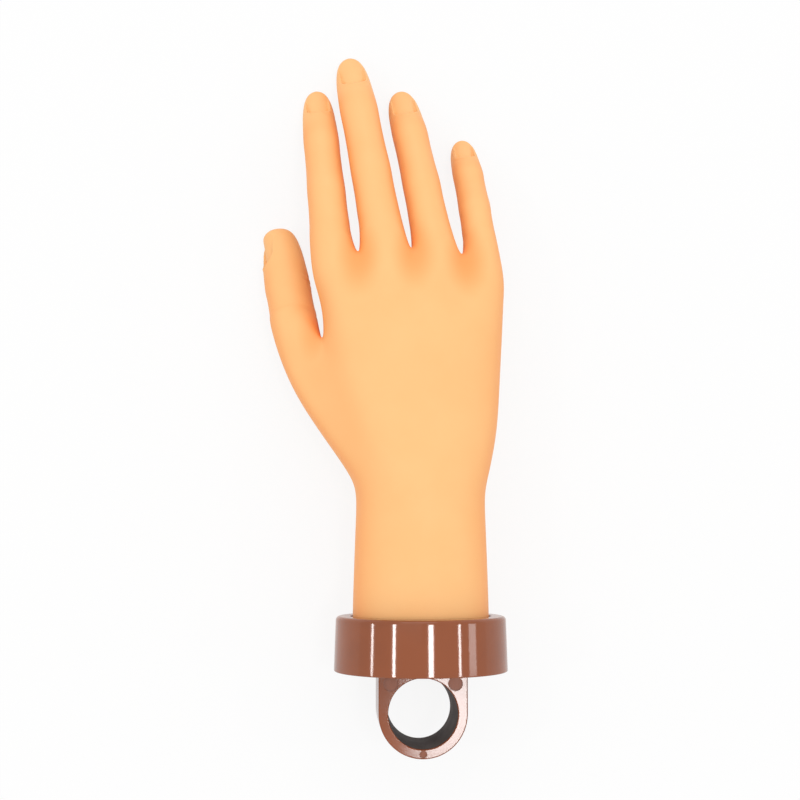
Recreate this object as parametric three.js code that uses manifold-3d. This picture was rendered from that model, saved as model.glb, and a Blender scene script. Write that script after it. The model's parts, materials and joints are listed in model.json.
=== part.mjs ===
// Practice hand for nail art: a soft right hand over a posable inner frame, in a round base with a clamp eye.
// Millimetres, +Z up. The hand lies palm down with its fingers along +Y and its thumb towards -X.
import * as THREE from 'three';
import { mergeVertices } from 'three/addons/utils/BufferGeometryUtils.js';
import Module from 'manifold-3d';

const wasm = await Module();
wasm.setup();

// Clearances
const FIT_GAP = 0.3;
const CAVITY_GAP = 0.45;

// Base: a drafted cup, open at the back, whose face has an oval mouth for the wrist
const CUP_LENGTH = 21.5;
const CUP_BACK_RADIUS = 33.8;
const CUP_FRONT_RADIUS = 33.1;
const CUP_WALL = 2.4;
const CUP_FACE = 2.6;
const CUP_FRONT_ROUND = 2;
const CUP_BACK_ROUND = 0.5;
const COLLAR_WALL = 1.8;

// Cover with the clamp eye, set into the back of the cup
const COVER_RECESS = 2.6;
const COVER_THICKNESS = 3.4;
const EYE_WIDTH = 34;
const EYE_DEPTH = 28;
const EYE_REACH = 31;
const BORE_RADIUS = 13.9;
const MARK_DEPTH = 0.25;
const CORNER_MARK_RADIUS = 2.8;
const CORNER_MARK_X = 12.3;
const CORNER_MARK_Y = 2.4;
const WALL_MARK_RADIUS = 1.5;

// Wrist plug and the screws
const FLANGE_RADIUS = 29.4;
const FLANGE_THICKNESS = 5;
const PLUG_END = 40;
const SLEEVE_WALL = 3.2;
const SCREW_CIRCLE_RADIUS = 25.2;
const SCREW_RADIUS = 1.45;
const SCREW_HEAD_RADIUS = 2.9;
const SCREW_HEAD_HEIGHT = 1.9;
const BASE_SCREW_LENGTH = 8;
const STEM_SCREW_LENGTH = 15;

// Inner frame
const LINK_WIDTH = 7.6;
const LINK_RADIUS = 3.5;
const NECK_HALF_HEIGHT = 2.5;
const TONGUE_WIDTH = 3.2;
const PIN_RADIUS = 1.2;
const KNUCKLE_HEAD_LENGTH = 13;
const STEM_WIDTH = 12;
const STEM_HEIGHT = 8;
const STEM_START = 16;
const PALM_PLATE_START = 74;
const PALM_PLATE_END = 112;
const PALM_PLATE_HALF_WIDTH = 16;
const PALM_PLATE_SHOULDER = 14;
const THUMB_SHOULDER = 4;
const ARM_HALF = 2.6;
const ARM_SEAT = 6;
const THUMB_ARM_START = 12;
const THUMB_HEAD_LENGTH = 10;

// Wrist of the skin: half sizes at its narrowest, what the sleeve adds to them, and the crease
const WRIST_HALF_WIDTH = 26;
const WRIST_HALF_THICKNESS = 21;
const WRIST_FLARE = 1.1;
const SLEEVE_FLARE = 2.2;
const WRIST_CREASE = 70;

// Finger sections: stations along a section as shares of its length, each with its taper
const SHAFT_STATIONS = [[0.62, 1]];
const TIP_STATIONS = [[0.42, 1], [0.68, 0.97], [0.86, 0.82], [0.97, 0.48]];
const SHAFT_WAIST = 0.03;
const SOCKET_GAP = 0.45;
const TIP_LINK_SHARE = 0.5;

// Nail seats
const SEAT_DEPTH = 1.5;
const SLOT_THICKNESS = 0.85;
const SLOT_REACH = 3.4;

// Fingers: root hinge, lean towards the thumb side, and for each joint in turn the segment length,
// its slope below level and the bend allowed. Half widths and half heights run from root to nail.
const FINGERS = {
  index: {
    root: [-35.6, 170.5, 34.0], lean: 5.2, roll: 0,
    lengths: [21.7, 25, 28.7], slopes: [15, 24.5, 33.5], bends: [45, 50, 35],
    halfWidths: [8.5, 7.7, 7.3, 6.9], halfHeights: [8.0, 7.5, 6.7, 6.3], nail: [4.7, 12.6],
  },
  middle: {
    root: [-15.6, 174.5, 35.9], lean: 9.2, roll: 0,
    lengths: [27.1, 29.9, 29.3], slopes: [14, 23, 31], bends: [45, 50, 35],
    halfWidths: [9.2, 8.1, 7.8, 7.4], halfHeights: [8.4, 7.8, 7.0, 6.6], nail: [5.1, 13.4],
  },
  ring: {
    root: [4.3, 173.5, 34.2], lean: 9.6, roll: 0,
    lengths: [22.1, 25.9, 25.8], slopes: [15, 25.5, 36], bends: [45, 50, 35],
    halfWidths: [8.5, 7.7, 7.5, 7.1], halfHeights: [8.0, 7.4, 6.7, 6.3], nail: [4.8, 12.4],
  },
  little: {
    root: [24.3, 170.8, 29.0], lean: 6.2, roll: 0,
    lengths: [16, 18.2, 20.8], slopes: [18, 30, 40], bends: [45, 50, 35],
    halfWidths: [7.1, 6.6, 6.3, 5.8], halfHeights: [6.6, 6.3, 5.8, 5.3], nail: [3.9, 9.8],
  },
  thumb: {
    root: [-50.3, 139.5, 17.8], lean: 10.2, roll: 67.5,
    lengths: [15.6, 27.4], slopes: [15, 15], bends: [-30, 35],
    halfWidths: [9.6, 9.6, 8.9], halfHeights: [9.5, 9.3, 7.7], nail: [5.6, 13.2],
  },
};

// Facets: a finger's girth, and the steps in each quarter turn of smaller rounds
const RING_COUNT = 16;
const HOLLOW_STEPS = 2;
const LINK_STEPS = 2;
const PIN_STEPS = 3;
const NAIL_STEPS = 3;

const rad = THREE.MathUtils.degToRad;
const v3 = (x, y, z) => new THREE.Vector3(x, y, z);
const mix = (a, b, t) => a + (b - a) * t;
const UP = v3(0, 0, 1);
const AXIS_HEIGHT = CUP_BACK_RADIUS;

const MATERIALS = {
  skin: new THREE.MeshStandardMaterial({ color: 0xfcc88c, roughness: 0.55, metalness: 0 }),
  base: new THREE.MeshStandardMaterial({ color: 0x9c5f48, roughness: 0.2, metalness: 0 }),
  frame: new THREE.MeshStandardMaterial({ color: 0xe8e4da, roughness: 0.5, metalness: 0 }),
  steel: new THREE.MeshStandardMaterial({ color: 0xb9bcc0, roughness: 0.35, metalness: 1 }),
};

// Solids from closed geometries, and back
function solidOf(geometry, matrix) {
  const bare = geometry.clone();
  bare.deleteAttribute('normal');
  bare.deleteAttribute('uv');
  if (matrix) bare.applyMatrix4(matrix);
  const merged = mergeVertices(bare, 1e-4);
  return new wasm.Manifold(new wasm.Mesh({
    numProp: 3,
    vertProperties: new Float32Array(merged.attributes.position.array),
    triVerts: new Uint32Array(merged.index.array),
  }));
}

function geometryOf(solid) {
  const mesh = solid.getMesh();
  const geometry = new THREE.BufferGeometry();
  geometry.setAttribute('position', new THREE.BufferAttribute(new Float32Array(mesh.vertProperties), 3));
  geometry.setIndex(new THREE.BufferAttribute(new Uint32Array(mesh.triVerts), 1));
  geometry.computeVertexNormals();
  return geometry;
}

const hand = new THREE.Group();

function addPiece(name, solid, material) {
  const mesh = new THREE.Mesh(geometryOf(solid), MATERIALS[material]);
  mesh.name = name;
  hand.add(mesh);
}

const union = (solids) => solids.reduce((sum, next) => sum.add(next));

// A frame: its origin, and unit vectors across, along (towards the tip) and out (back of the hand)
function makeFrame(origin, along, across) {
  const out = new THREE.Vector3().crossVectors(across, along).normalize();
  return { origin, along, across, out };
}

const sideMatrix = (f) => new THREE.Matrix4().makeBasis(f.along, f.out, f.across).setPosition(f.origin);
const topMatrix = (f) => new THREE.Matrix4().makeBasis(f.across, f.along, f.out).setPosition(f.origin);

function prism(shape, from, to, matrix, steps = 6) {
  const geometry = new THREE.ExtrudeGeometry(shape, {
    depth: to - from, bevelEnabled: false, curveSegments: steps,
  });
  geometry.translate(0, 0, from);
  return solidOf(geometry, matrix);
}

function rectangle(x0, y0, x1, y1) {
  return new THREE.Shape([
    new THREE.Vector2(x0, y0), new THREE.Vector2(x1, y0),
    new THREE.Vector2(x1, y1), new THREE.Vector2(x0, y1),
  ]);
}

function disc(radius, x = 0, y = 0) {
  const shape = new THREE.Shape();
  shape.absarc(x, y, radius, 0, 2 * Math.PI, false);
  return shape;
}

// Two half discs joined by straight sides, from x0 to x1
function stadium(x0, x1, radius) {
  const shape = new THREE.Shape();
  shape.absarc(x0, 0, radius, Math.PI / 2, 1.5 * Math.PI, false);
  shape.absarc(x1, 0, radius, -Math.PI / 2, Math.PI / 2, false);
  shape.closePath();
  return shape;
}

// The chain of a finger: one frame for each segment, and one for each joint's cut
function makeChain(finger) {
  const heading = v3(-Math.sin(rad(finger.lean)), Math.cos(rad(finger.lean)), 0);
  const side = new THREE.Vector3().crossVectors(heading, UP);
  const segments = [];
  let origin = v3(...finger.root);
  finger.lengths.forEach((length, k) => {
    const slope = rad(finger.slopes[k]);
    const along = heading.clone().multiplyScalar(Math.cos(slope)).addScaledVector(UP, -Math.sin(slope));
    const across = side.clone().applyAxisAngle(along, -rad(finger.roll));
    segments.push({ ...makeFrame(origin.clone(), along, across), length });
    origin = origin.clone().addScaledVector(along, length);
  });
  const joints = segments.map((segment, k) => {
    const before = segments[Math.max(k - 1, 0)];
    const along = before.along.clone().add(segment.along).normalize();
    const turn = Math.sign(finger.bends[k]);
    const across = segment.across.clone().multiplyScalar(turn);
    return {
      ...makeFrame(segment.origin, along, across),
      bend: Math.abs(finger.bends[k]),
      restBend: THREE.MathUtils.radToDeg(before.along.angleTo(segment.along)) / 2,
      bendSide: -turn,
      radius: finger.halfHeights[k],
    };
  });
  return { segments, joints, tip: origin };
}

const CHAINS = Object.fromEntries(Object.entries(FINGERS).map(([name, finger]) => [name, makeChain(finger)]));

// Control cage of the hand. Rings run across the back of the hand and return across the palm.
const cage = { points: [], faces: [] };
const addPoint = (p) => cage.points.push(p) - 1;

function bridge(from, to) {
  from.forEach((point, i) => {
    const next = (i + 1) % from.length;
    cage.faces.push([point, from[next], to[next], to[i]]);
  });
}

// A section holds one entry for each column: x, y, and the heights of the back and the palm,
// with the two side points given apart
function ringOf(section) {
  const back = section.columns.map((c) => addPoint(v3(c.x, c.y, c.top)));
  const palm = section.columns.map((c) => addPoint(v3(c.x, c.y, c.bottom)));
  return {
    back, palm,
    thumbSide: addPoint(section.thumbSide),
    littleSide: addPoint(section.littleSide),
  };
}

const loopOf = (ring) => [...ring.back, ring.littleSide, ...[...ring.palm].reverse(), ring.thumbSide];

const COLUMN_COUNT = 11;
const THUMB_COLUMNS = 2;

function ovalSection(y, centre, halfWidth, halfThickness) {
  const edge = rad(20);
  const columns = Array.from({ length: COLUMN_COUNT }, (_, j) => {
    const angle = Math.PI - edge - (Math.PI - 2 * edge) * j / (COLUMN_COUNT - 1);
    const rise = halfThickness * Math.sin(angle);
    return { x: centre[0] + halfWidth * Math.cos(angle), y, top: centre[1] + rise, bottom: centre[1] - rise };
  });
  return {
    columns,
    thumbSide: v3(centre[0] - halfWidth, y, centre[1]),
    littleSide: v3(centre[0] + halfWidth, y, centre[1]),
  };
}

function mixSections(a, b, t, first = 0) {
  const columns = b.columns.map((c, j) => {
    const from = a.columns[j + first];
    return {
      x: mix(from.x, c.x, t), y: mix(from.y, c.y, t),
      top: mix(from.top, c.top, t), bottom: mix(from.bottom, c.bottom, t),
    };
  });
  return {
    columns,
    thumbSide: (first ? a.innerSide : a.thumbSide).clone().lerp(b.thumbSide, t),
    littleSide: a.littleSide.clone().lerp(b.littleSide, t),
  };
}

// Where the thumb parts from the palm
const THUMB_WEB = v3(-39.5, 127.5, 25.5);
const SPLIT_SECTION = {
  columns: [
    { x: -56.5, y: 127, top: 25, bottom: 12 }, { x: -49, y: 128, top: 28.5, bottom: 8.5 },
    { x: -39.5, y: 128, top: 37, bottom: 13.5 }, { x: -31.5, y: 129, top: 45.5, bottom: 17 },
    { x: -23, y: 129, top: 49, bottom: 18 }, { x: -14, y: 130, top: 50.5, bottom: 18.5 },
    { x: -5, y: 130, top: 50.8, bottom: 18.5 }, { x: 5, y: 130, top: 50.2, bottom: 18 },
    { x: 15, y: 129, top: 48.2, bottom: 17 }, { x: 24, y: 129, top: 44.5, bottom: 17 },
    { x: 30.5, y: 128, top: 39, bottom: 21.5 },
  ],
  thumbSide: v3(-58.8, 127, 18.4),
  littleSide: v3(33.6, 128, 30.5),
  innerSide: THUMB_WEB,
};

// The knuckle section follows the roots of the four fingers
function knuckleSection() {
  const names = ['index', 'middle', 'ring', 'little'];
  const back = 12.5;
  const roots = names.map((name) => {
    const segment = CHAINS[name].segments[0];
    const finger = FINGERS[name];
    return {
      centre: segment.origin.clone().addScaledVector(segment.along, -back),
      width: finger.halfWidths[0], height: finger.halfHeights[0],
    };
  });
  const columns = [];
  roots.forEach((root, k) => {
    const previous = roots[k - 1];
    if (previous) {
      columns.push({
        x: (previous.centre.x + previous.width + root.centre.x - root.width) / 2,
        y: (previous.centre.y + root.centre.y) / 2 + 1.5,
        top: (previous.centre.z + root.centre.z) / 2 + 5.2,
        bottom: (previous.centre.z + root.centre.z) / 2 - 5.6,
      });
    } else {
      columns.push({
        x: root.centre.x - root.width * 0.86, y: root.centre.y - 3,
        top: root.centre.z + 5.6, bottom: root.centre.z - 6.2,
      });
    }
    columns.push({
      x: root.centre.x, y: root.centre.y,
      top: root.centre.z + root.height * 1.16, bottom: root.centre.z - root.height * 1.2,
    });
  });
  const last = roots[3];
  columns.push({
    x: last.centre.x + last.width * 0.9, y: last.centre.y - 3,
    top: last.centre.z + 4.8, bottom: last.centre.z - 5.4,
  });
  return {
    columns,
    thumbSide: v3(roots[0].centre.x - roots[0].width * 1.1, roots[0].centre.y - 3, roots[0].centre.z - 0.5),
    littleSide: v3(last.centre.x + last.width * 1.36, last.centre.y - 3, last.centre.z - 0.5),
  };
}

// Palm between the wrist and the thumb's web, widened on the thumb's and the little finger's side
function palmSection(y, t, thumbWiden, littleWiden) {
  const wrist = ovalSection(WRIST_CREASE, [0, AXIS_HEIGHT], WRIST_HALF_WIDTH, WRIST_HALF_THICKNESS);
  const section = mixSections(wrist, SPLIT_SECTION, t);
  const reach = section.littleSide.x;
  section.columns.forEach((c) => {
    const share = c.x / reach;
    c.x += share > 0 ? littleWiden * share : thumbWiden * share;
    c.y = y;
    c.bottom += 0.5 * thumbWiden * Math.min(share, 0);
  });
  section.thumbSide.x -= thumbWiden;
  section.littleSide.x += littleWiden;
  section.thumbSide.y = y;
  section.littleSide.y = y;
  return section;
}

function palmCage() {
  const height = AXIS_HEIGHT;
  const flared = WRIST_HALF_WIDTH + WRIST_FLARE;
  const lower = [
    ovalSection(6, [0, height], flared, WRIST_HALF_THICKNESS + SLEEVE_FLARE),
    ovalSection(26, [0, height], flared, WRIST_HALF_THICKNESS + SLEEVE_FLARE - 0.4),
    ovalSection(WRIST_CREASE - 10, [0, height], WRIST_HALF_WIDTH, WRIST_HALF_THICKNESS - 0.6),
    palmSection(WRIST_CREASE + 7, 0.08, 0.3, 0.9),
    palmSection(WRIST_CREASE + 24, 0.42, 0.5, 1.6),
    palmSection(WRIST_CREASE + 41, 0.72, 1.4, 0.6),
    SPLIT_SECTION,
  ];
  const rings = lower.map(ringOf);
  cage.faces.push(loopOf(rings[0]).reverse());
  rings.slice(1).forEach((ring, i) => bridge(loopOf(rings[i]), loopOf(ring)));
  const split = rings.at(-1);
  const web = addPoint(THUMB_WEB);
  const thumbLoop = [
    split.back[0], split.back[1], split.back[2], web,
    split.palm[2], split.palm[1], split.palm[0], split.thumbSide,
  ];
  const knuckles = knuckleSection();
  const upper = [0.36, 0.72, 1].map((t) => {
    const section = mixSections(SPLIT_SECTION, knuckles, t, THUMB_COLUMNS);
    const pad = 2.6 * Math.sin(Math.PI * Math.min(1, t * 1.15));
    const waist = 2.4 * Math.sin(Math.PI * t);
    section.columns.forEach((c) => { c.bottom -= pad; });
    section.columns[0].x += waist;
    section.thumbSide.x += waist;
    return ringOf(section);
  });
  const start = {
    back: split.back.slice(THUMB_COLUMNS), palm: split.palm.slice(THUMB_COLUMNS),
    thumbSide: web, littleSide: split.littleSide,
  };
  [start, ...upper].reduce((from, to) => { bridge(loopOf(from), loopOf(to)); return to; });
  return { thumbLoop, knuckles: upper.at(-1) };
}

const CAGE_RING = 8;
const RING_SWELL = 1.082;

// A ring round a finger starts at the back of its thumb side and runs towards the little finger
const ringAngle = (i, count, roll) => rad(135 - 360 * i / count - roll);

function ringPoint(frame, across, s, halfWidth, halfHeight, angle) {
  const out = new THREE.Vector3().crossVectors(across, frame.along);
  return frame.origin.clone().addScaledVector(frame.along, s)
    .addScaledVector(across, halfWidth * Math.cos(angle))
    .addScaledVector(out, halfHeight * Math.sin(angle));
}

// The palm's cage ends in an open ring at each root hinge
function stubCage(name, baseLoop) {
  const finger = FINGERS[name];
  const { segments, joints } = CHAINS[name];
  const ring = Array.from({ length: CAGE_RING }, (_, i) => addPoint(ringPoint(
    joints[0], segments[0].across, 0,
    RING_SWELL * finger.halfWidths[0], RING_SWELL * finger.halfHeights[0],
    ringAngle(i, CAGE_RING, finger.roll),
  )));
  bridge(baseLoop, ring);
  return ring;
}

// One round of Catmull-Clark subdivision; an open edge stays open and is rounded along itself
function subdivide({ points, faces }) {
  const facePoints = faces.map((face) => {
    const sum = v3(0, 0, 0);
    face.forEach((i) => sum.add(points[i]));
    return sum.divideScalar(face.length);
  });
  const edges = new Map();
  faces.forEach((face, f) => face.forEach((a, i) => {
    const b = face[(i + 1) % face.length];
    const key = a < b ? `${a},${b}` : `${b},${a}`;
    if (!edges.has(key)) edges.set(key, { ends: [a, b], faces: [] });
    edges.get(key).faces.push(f);
  }));
  const around = points.map(() => ({
    faces: v3(0, 0, 0), edges: v3(0, 0, 0), rim: v3(0, 0, 0), count: 0, open: 0,
  }));
  edges.forEach((edge) => {
    const [a, b] = edge.ends;
    const middle = points[a].clone().add(points[b]).multiplyScalar(0.5);
    const open = edge.faces.length === 1;
    edge.point = open ? middle : middle.clone().multiplyScalar(2)
      .add(facePoints[edge.faces[0]]).add(facePoints[edge.faces[1]]).multiplyScalar(0.25);
    [a, b].forEach((i) => {
      around[i].edges.add(middle);
      around[i].count += 1;
      if (open) {
        around[i].rim.add(middle);
        around[i].open += 1;
      }
    });
  });
  faces.forEach((face, f) => face.forEach((i) => around[i].faces.add(facePoints[f])));
  const moved = points.map((point, i) => {
    const n = around[i].count;
    if (around[i].open) return around[i].rim.clone().divideScalar(4).addScaledVector(point, 0.5);
    return around[i].faces.clone().divideScalar(n)
      .addScaledVector(around[i].edges, 2 / n)
      .addScaledVector(point, n - 3)
      .divideScalar(n);
  });
  const edgeIndex = new Map();
  edges.forEach((edge, key) => edgeIndex.set(key, moved.push(edge.point) - 1));
  const split = [];
  faces.forEach((face, f) => {
    const centre = moved.push(facePoints[f]) - 1;
    const edgeOf = (a, b) => edgeIndex.get(a < b ? `${a},${b}` : `${b},${a}`);
    face.forEach((point, i) => {
      const next = face[(i + 1) % face.length];
      const previous = face[(i + face.length - 1) % face.length];
      split.push([point, edgeOf(point, next), centre, edgeOf(previous, point)]);
    });
  });
  const ringAfter = (ring) => ring.flatMap((point, i) => {
    const next = ring[(i + 1) % ring.length];
    return [point, edgeIndex.get(point < next ? `${point},${next}` : `${next},${point}`)];
  });
  return { points: moved, faces: split, ringAfter };
}

function surfaceGeometry({ points, faces }) {
  const index = [];
  faces.forEach(([a, b, c, d]) => {
    if (d === undefined) {
      index.push(a, b, c);
      return;
    }
    const cutFirst = points[a].distanceTo(points[c]) < points[b].distanceTo(points[d]);
    index.push(...(cutFirst ? [a, b, c, a, c, d] : [a, b, d, b, c, d]));
  });
  const geometry = new THREE.BufferGeometry();
  geometry.setAttribute('position', new THREE.Float32BufferAttribute(points.flatMap((p) => p.toArray()), 3));
  geometry.setIndex(index);
  return geometry;
}

// The round or hollow end of a finger section: strips that run straight across, from top to bottom
function endStrips(ring, roll, reversed) {
  const count = ring.length;
  const top = Math.round((135 - 90 - roll) / (360 / count));
  const at = (i) => ring[(top + i + 2 * count) % count];
  const faces = [[at(0), at(1), at(-1)]];
  for (let m = 1; m < count / 2 - 1; m += 1) faces.push([at(m), at(m + 1), at(-m - 1), at(-m)]);
  faces.push([at(count / 2 - 1), at(count / 2), at(1 - count / 2)]);
  return reversed ? faces.map((face) => face.reverse()) : faces;
}

// Girth at a place on a segment, as half width and half height
function girthAt(name, k, s) {
  const finger = FINGERS[name];
  const share = THREE.MathUtils.clamp(s / finger.lengths[k], 0, 1);
  const waist = 1 - SHAFT_WAIST * Math.sin(Math.PI * share) * (k < finger.lengths.length - 1 ? 1 : 0);
  return [
    mix(finger.halfWidths[k], finger.halfWidths[k + 1], share) * waist,
    mix(finger.halfHeights[k], finger.halfHeights[k + 1], share) * waist,
  ];
}

// The inner section of a joint ends in a round about the hinge, as wide as the finger is thick
function roundEnd(name, joint, across, girth) {
  const { roll } = FINGERS[name];
  return Array.from({ length: RING_COUNT }, (_, i) => {
    const angle = ringAngle(i, RING_COUNT, roll);
    const s = joint.radius * Math.abs(Math.cos(angle));
    return ringPoint(joint, across, s, girth[0], girth[1], angle);
  });
}

// The outer section starts in a hollow round that one, cut back on the bending side by the bend allowed
function hollowStart(name, k) {
  const { joints, segments } = CHAINS[name];
  const joint = joints[k];
  const relief = Math.tan(rad(joint.bend + 2));
  return Array.from({ length: RING_COUNT }, (_, i) => {
    const angle = ringAngle(i, RING_COUNT, FINGERS[name].roll);
    let s = 0;
    let girth = girthAt(name, k, 0);
    for (let pass = 0; pass < 4; pass += 1) {
      const t = girth[1] * Math.sin(angle);
      s = Math.sqrt(Math.max((joint.radius + SOCKET_GAP) ** 2 - t * t, 0));
      if (Math.sign(t) === joint.bendSide) s = Math.max(s, Math.abs(t) * relief);
      girth = girthAt(name, k, s);
    }
    return ringPoint(joint, segments[k].across, s, girth[0], girth[1], angle);
  });
}

function loftSolid(rings, roll, pole) {
  const points = rings.flat();
  const ids = rings.map((ring, r) => ring.map((_, i) => r * RING_COUNT + i));
  const faces = endStrips(ids[0], roll, true);
  ids.slice(1).forEach((ring, r) => ring.forEach((id, i) => {
    const next = (i + 1) % RING_COUNT;
    faces.push([ids[r][i], ids[r][next], ring[next], id]);
  }));
  if (pole) {
    points.push(pole);
    const last = ids.at(-1);
    last.forEach((id, i) => faces.push([id, last[(i + 1) % RING_COUNT], points.length - 1]));
  } else {
    faces.push(...endStrips(ids.at(-1), roll, false));
  }
  return solidOf(surfaceGeometry({ points, faces }));
}

function skinBlank(name, k) {
  const finger = FINGERS[name];
  const { segments, joints } = CHAINS[name];
  const segment = segments[k];
  const last = k === segments.length - 1;
  const stations = last ? TIP_STATIONS : SHAFT_STATIONS;
  const rings = [hollowStart(name, k)];
  stations.forEach(([share, taper]) => {
    const girth = girthAt(name, k, segment.length * share);
    rings.push(Array.from({ length: RING_COUNT }, (_, i) => ringPoint(
      segment, segment.across, segment.length * share, girth[0] * taper, girth[1] * taper,
      ringAngle(i, RING_COUNT, finger.roll),
    )));
  });
  const pole = segment.origin.clone().addScaledVector(segment.along, segment.length);
  if (!last) rings.push(roundEnd(name, joints[k + 1], segment.across, girthAt(name, k, segment.length)));
  return loftSolid(rings, finger.roll, last ? pole : null);
}

function palmBlank() {
  const { thumbLoop, knuckles } = palmCage();
  const rims = { thumb: stubCage('thumb', thumbLoop) };
  const webs = [2, 4, 6].map((column) => {
    const back = cage.points[knuckles.back[column]];
    const palm = cage.points[knuckles.palm[column]];
    return addPoint(back.clone().add(palm).multiplyScalar(0.5).add(v3(0, 1, 0)));
  });
  const sides = [knuckles.thumbSide, ...webs, knuckles.littleSide];
  ['index', 'middle', 'ring', 'little'].forEach((name, k) => {
    const { back, palm } = knuckles;
    const c = 2 * k;
    rims[name] = stubCage(name, [
      back[c], back[c + 1], back[c + 2], sides[k + 1], palm[c + 2], palm[c + 1], palm[c], sides[k],
    ]);
  });
  const surface = subdivide(cage);
  Object.entries(rims).forEach(([name, rim]) => {
    const finger = FINGERS[name];
    const { joints, segments } = CHAINS[name];
    const girth = [finger.halfWidths[0], finger.halfHeights[0]];
    const ring = surface.ringAfter(rim);
    ring.forEach((id, i) => {
      const angle = ringAngle(i, RING_COUNT, finger.roll);
      surface.points[id] = ringPoint(joints[0], segments[0].across, 0, ...girth, angle);
    });
    const end = roundEnd(name, joints[0], segments[0].across, girth).map((point, i) => {
      const level = Math.abs(Math.cos(ringAngle(i, RING_COUNT, finger.roll))) < 1e-6;
      return level ? ring[i] : surface.points.push(point) - 1;
    });
    ring.forEach((id, i) => {
      const next = (i + 1) % RING_COUNT;
      const corners = [id, ring[next], end[next], end[i]];
      surface.faces.push(corners.filter((corner, j) => corners.indexOf(corner) === j));
    });
    surface.faces.push(...endStrips(end, finger.roll, false));
  });
  return solidOf(surfaceGeometry(surface));
}

// Hollows for the frame: the bar of a link, and the room that the next link's neck sweeps
function linkHollow(segment, last) {
  const half = LINK_WIDTH / 2 + CAVITY_GAP;
  const round = LINK_RADIUS + CAVITY_GAP;
  const matrix = sideMatrix(segment);
  if (!last) return prism(stadium(0, segment.length, round), -half, half, matrix, HOLLOW_STEPS);
  const bar = stadium(0, segment.length * TIP_LINK_SHARE, NECK_HALF_HEIGHT + CAVITY_GAP);
  return prism(bar, -half, half, matrix, HOLLOW_STEPS)
    .add(prism(disc(round), -half, half, matrix, HOLLOW_STEPS));
}

function sweepHollow(joint) {
  const half = LINK_WIDTH / 2 + CAVITY_GAP;
  const grown = NECK_HALF_HEIGHT + CAVITY_GAP;
  const outer = joint.radius + 3;
  const spread = Math.asin(grown / outer);
  const top = spread;
  const low = -rad(joint.bend + joint.restBend + 1) - spread;
  const swing = rad(joint.bend + joint.restBend + 1);
  const shape = new THREE.Shape();
  shape.moveTo(0, grown);
  shape.lineTo(outer * Math.cos(top), grown);
  shape.absarc(0, 0, outer, top, low, true);
  shape.lineTo(-grown * Math.sin(swing), -grown * Math.cos(swing));
  shape.absarc(0, 0, grown, -Math.PI / 2 - swing, -1.5 * Math.PI, true);
  shape.closePath();
  return prism(shape, -half, half, sideMatrix(joint), HOLLOW_STEPS);
}

// Frame links: a tongue at the root end, a fork at the far end, one pin through both
const SLOT_HALF = TONGUE_WIDTH / 2 + FIT_GAP;
const PIN_HOLE_RADIUS = PIN_RADIUS + 0.28;
const KNUCKLE_RELIEF = LINK_RADIUS + 0.55;

function linkSolid(segment, hasFork) {
  const { length } = segment;
  const half = LINK_WIDTH / 2;
  const matrix = sideMatrix(segment);
  const end = hasFork ? length : length * TIP_LINK_SHARE;
  const endRadius = hasFork ? LINK_RADIUS : NECK_HALF_HEIGHT;
  const bodyStart = KNUCKLE_RELIEF + 2.6;
  const profile = new THREE.Shape();
  profile.absarc(0, 0, LINK_RADIUS, Math.PI / 2, 1.5 * Math.PI, false);
  profile.lineTo(KNUCKLE_RELIEF, -NECK_HALF_HEIGHT);
  profile.lineTo(bodyStart, -NECK_HALF_HEIGHT);
  profile.absarc(end, 0, endRadius, -Math.PI / 2, Math.PI / 2, false);
  profile.lineTo(bodyStart, NECK_HALF_HEIGHT);
  profile.lineTo(KNUCKLE_RELIEF, NECK_HALF_HEIGHT);
  profile.closePath();
  let link = prism(profile, -half, half, matrix, LINK_STEPS);
  [-1, 1].forEach((side) => {
    const inner = side > 0 ? TONGUE_WIDTH / 2 : -half - 1;
    const outer = side > 0 ? half + 1 : -TONGUE_WIDTH / 2;
    link = link.subtract(prism(rectangle(-8, -8, KNUCKLE_RELIEF, 8), inner, outer, matrix));
  });
  link = link.subtract(prism(disc(PIN_HOLE_RADIUS), -half - 1, half + 1, matrix, PIN_STEPS));
  if (hasFork) link = forked(link, matrix, length);
  return link;
}

function forked(solid, matrix, at) {
  const half = LINK_WIDTH / 2;
  return solid
    .subtract(prism(rectangle(at - KNUCKLE_RELIEF, -8, at + 8, 8), -SLOT_HALF, SLOT_HALF, matrix))
    .subtract(prism(disc(PIN_HOLE_RADIUS, at, 0), -half - 1, half + 1, matrix, PIN_STEPS));
}

function pinSolid(joint) {
  const half = LINK_WIDTH / 2;
  return prism(disc(PIN_RADIUS), -half, half, sideMatrix(joint), PIN_STEPS);
}

// The palm frame: stem, plate, and an arm to each root hinge that ends in a fork
const STEM_FRAME = makeFrame(v3(0, 0, AXIS_HEIGHT), v3(0, 1, 0), v3(1, 0, 0));

function bar(from, to, halfWidth, halfHeight) {
  const along = to.clone().sub(from);
  const length = along.length();
  along.normalize();
  const across = new THREE.Vector3().crossVectors(along, UP).normalize();
  const plan = rectangle(-halfWidth, 0, halfWidth, length);
  return prism(plan, -halfHeight, halfHeight, topMatrix(makeFrame(from, along, across)));
}

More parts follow.
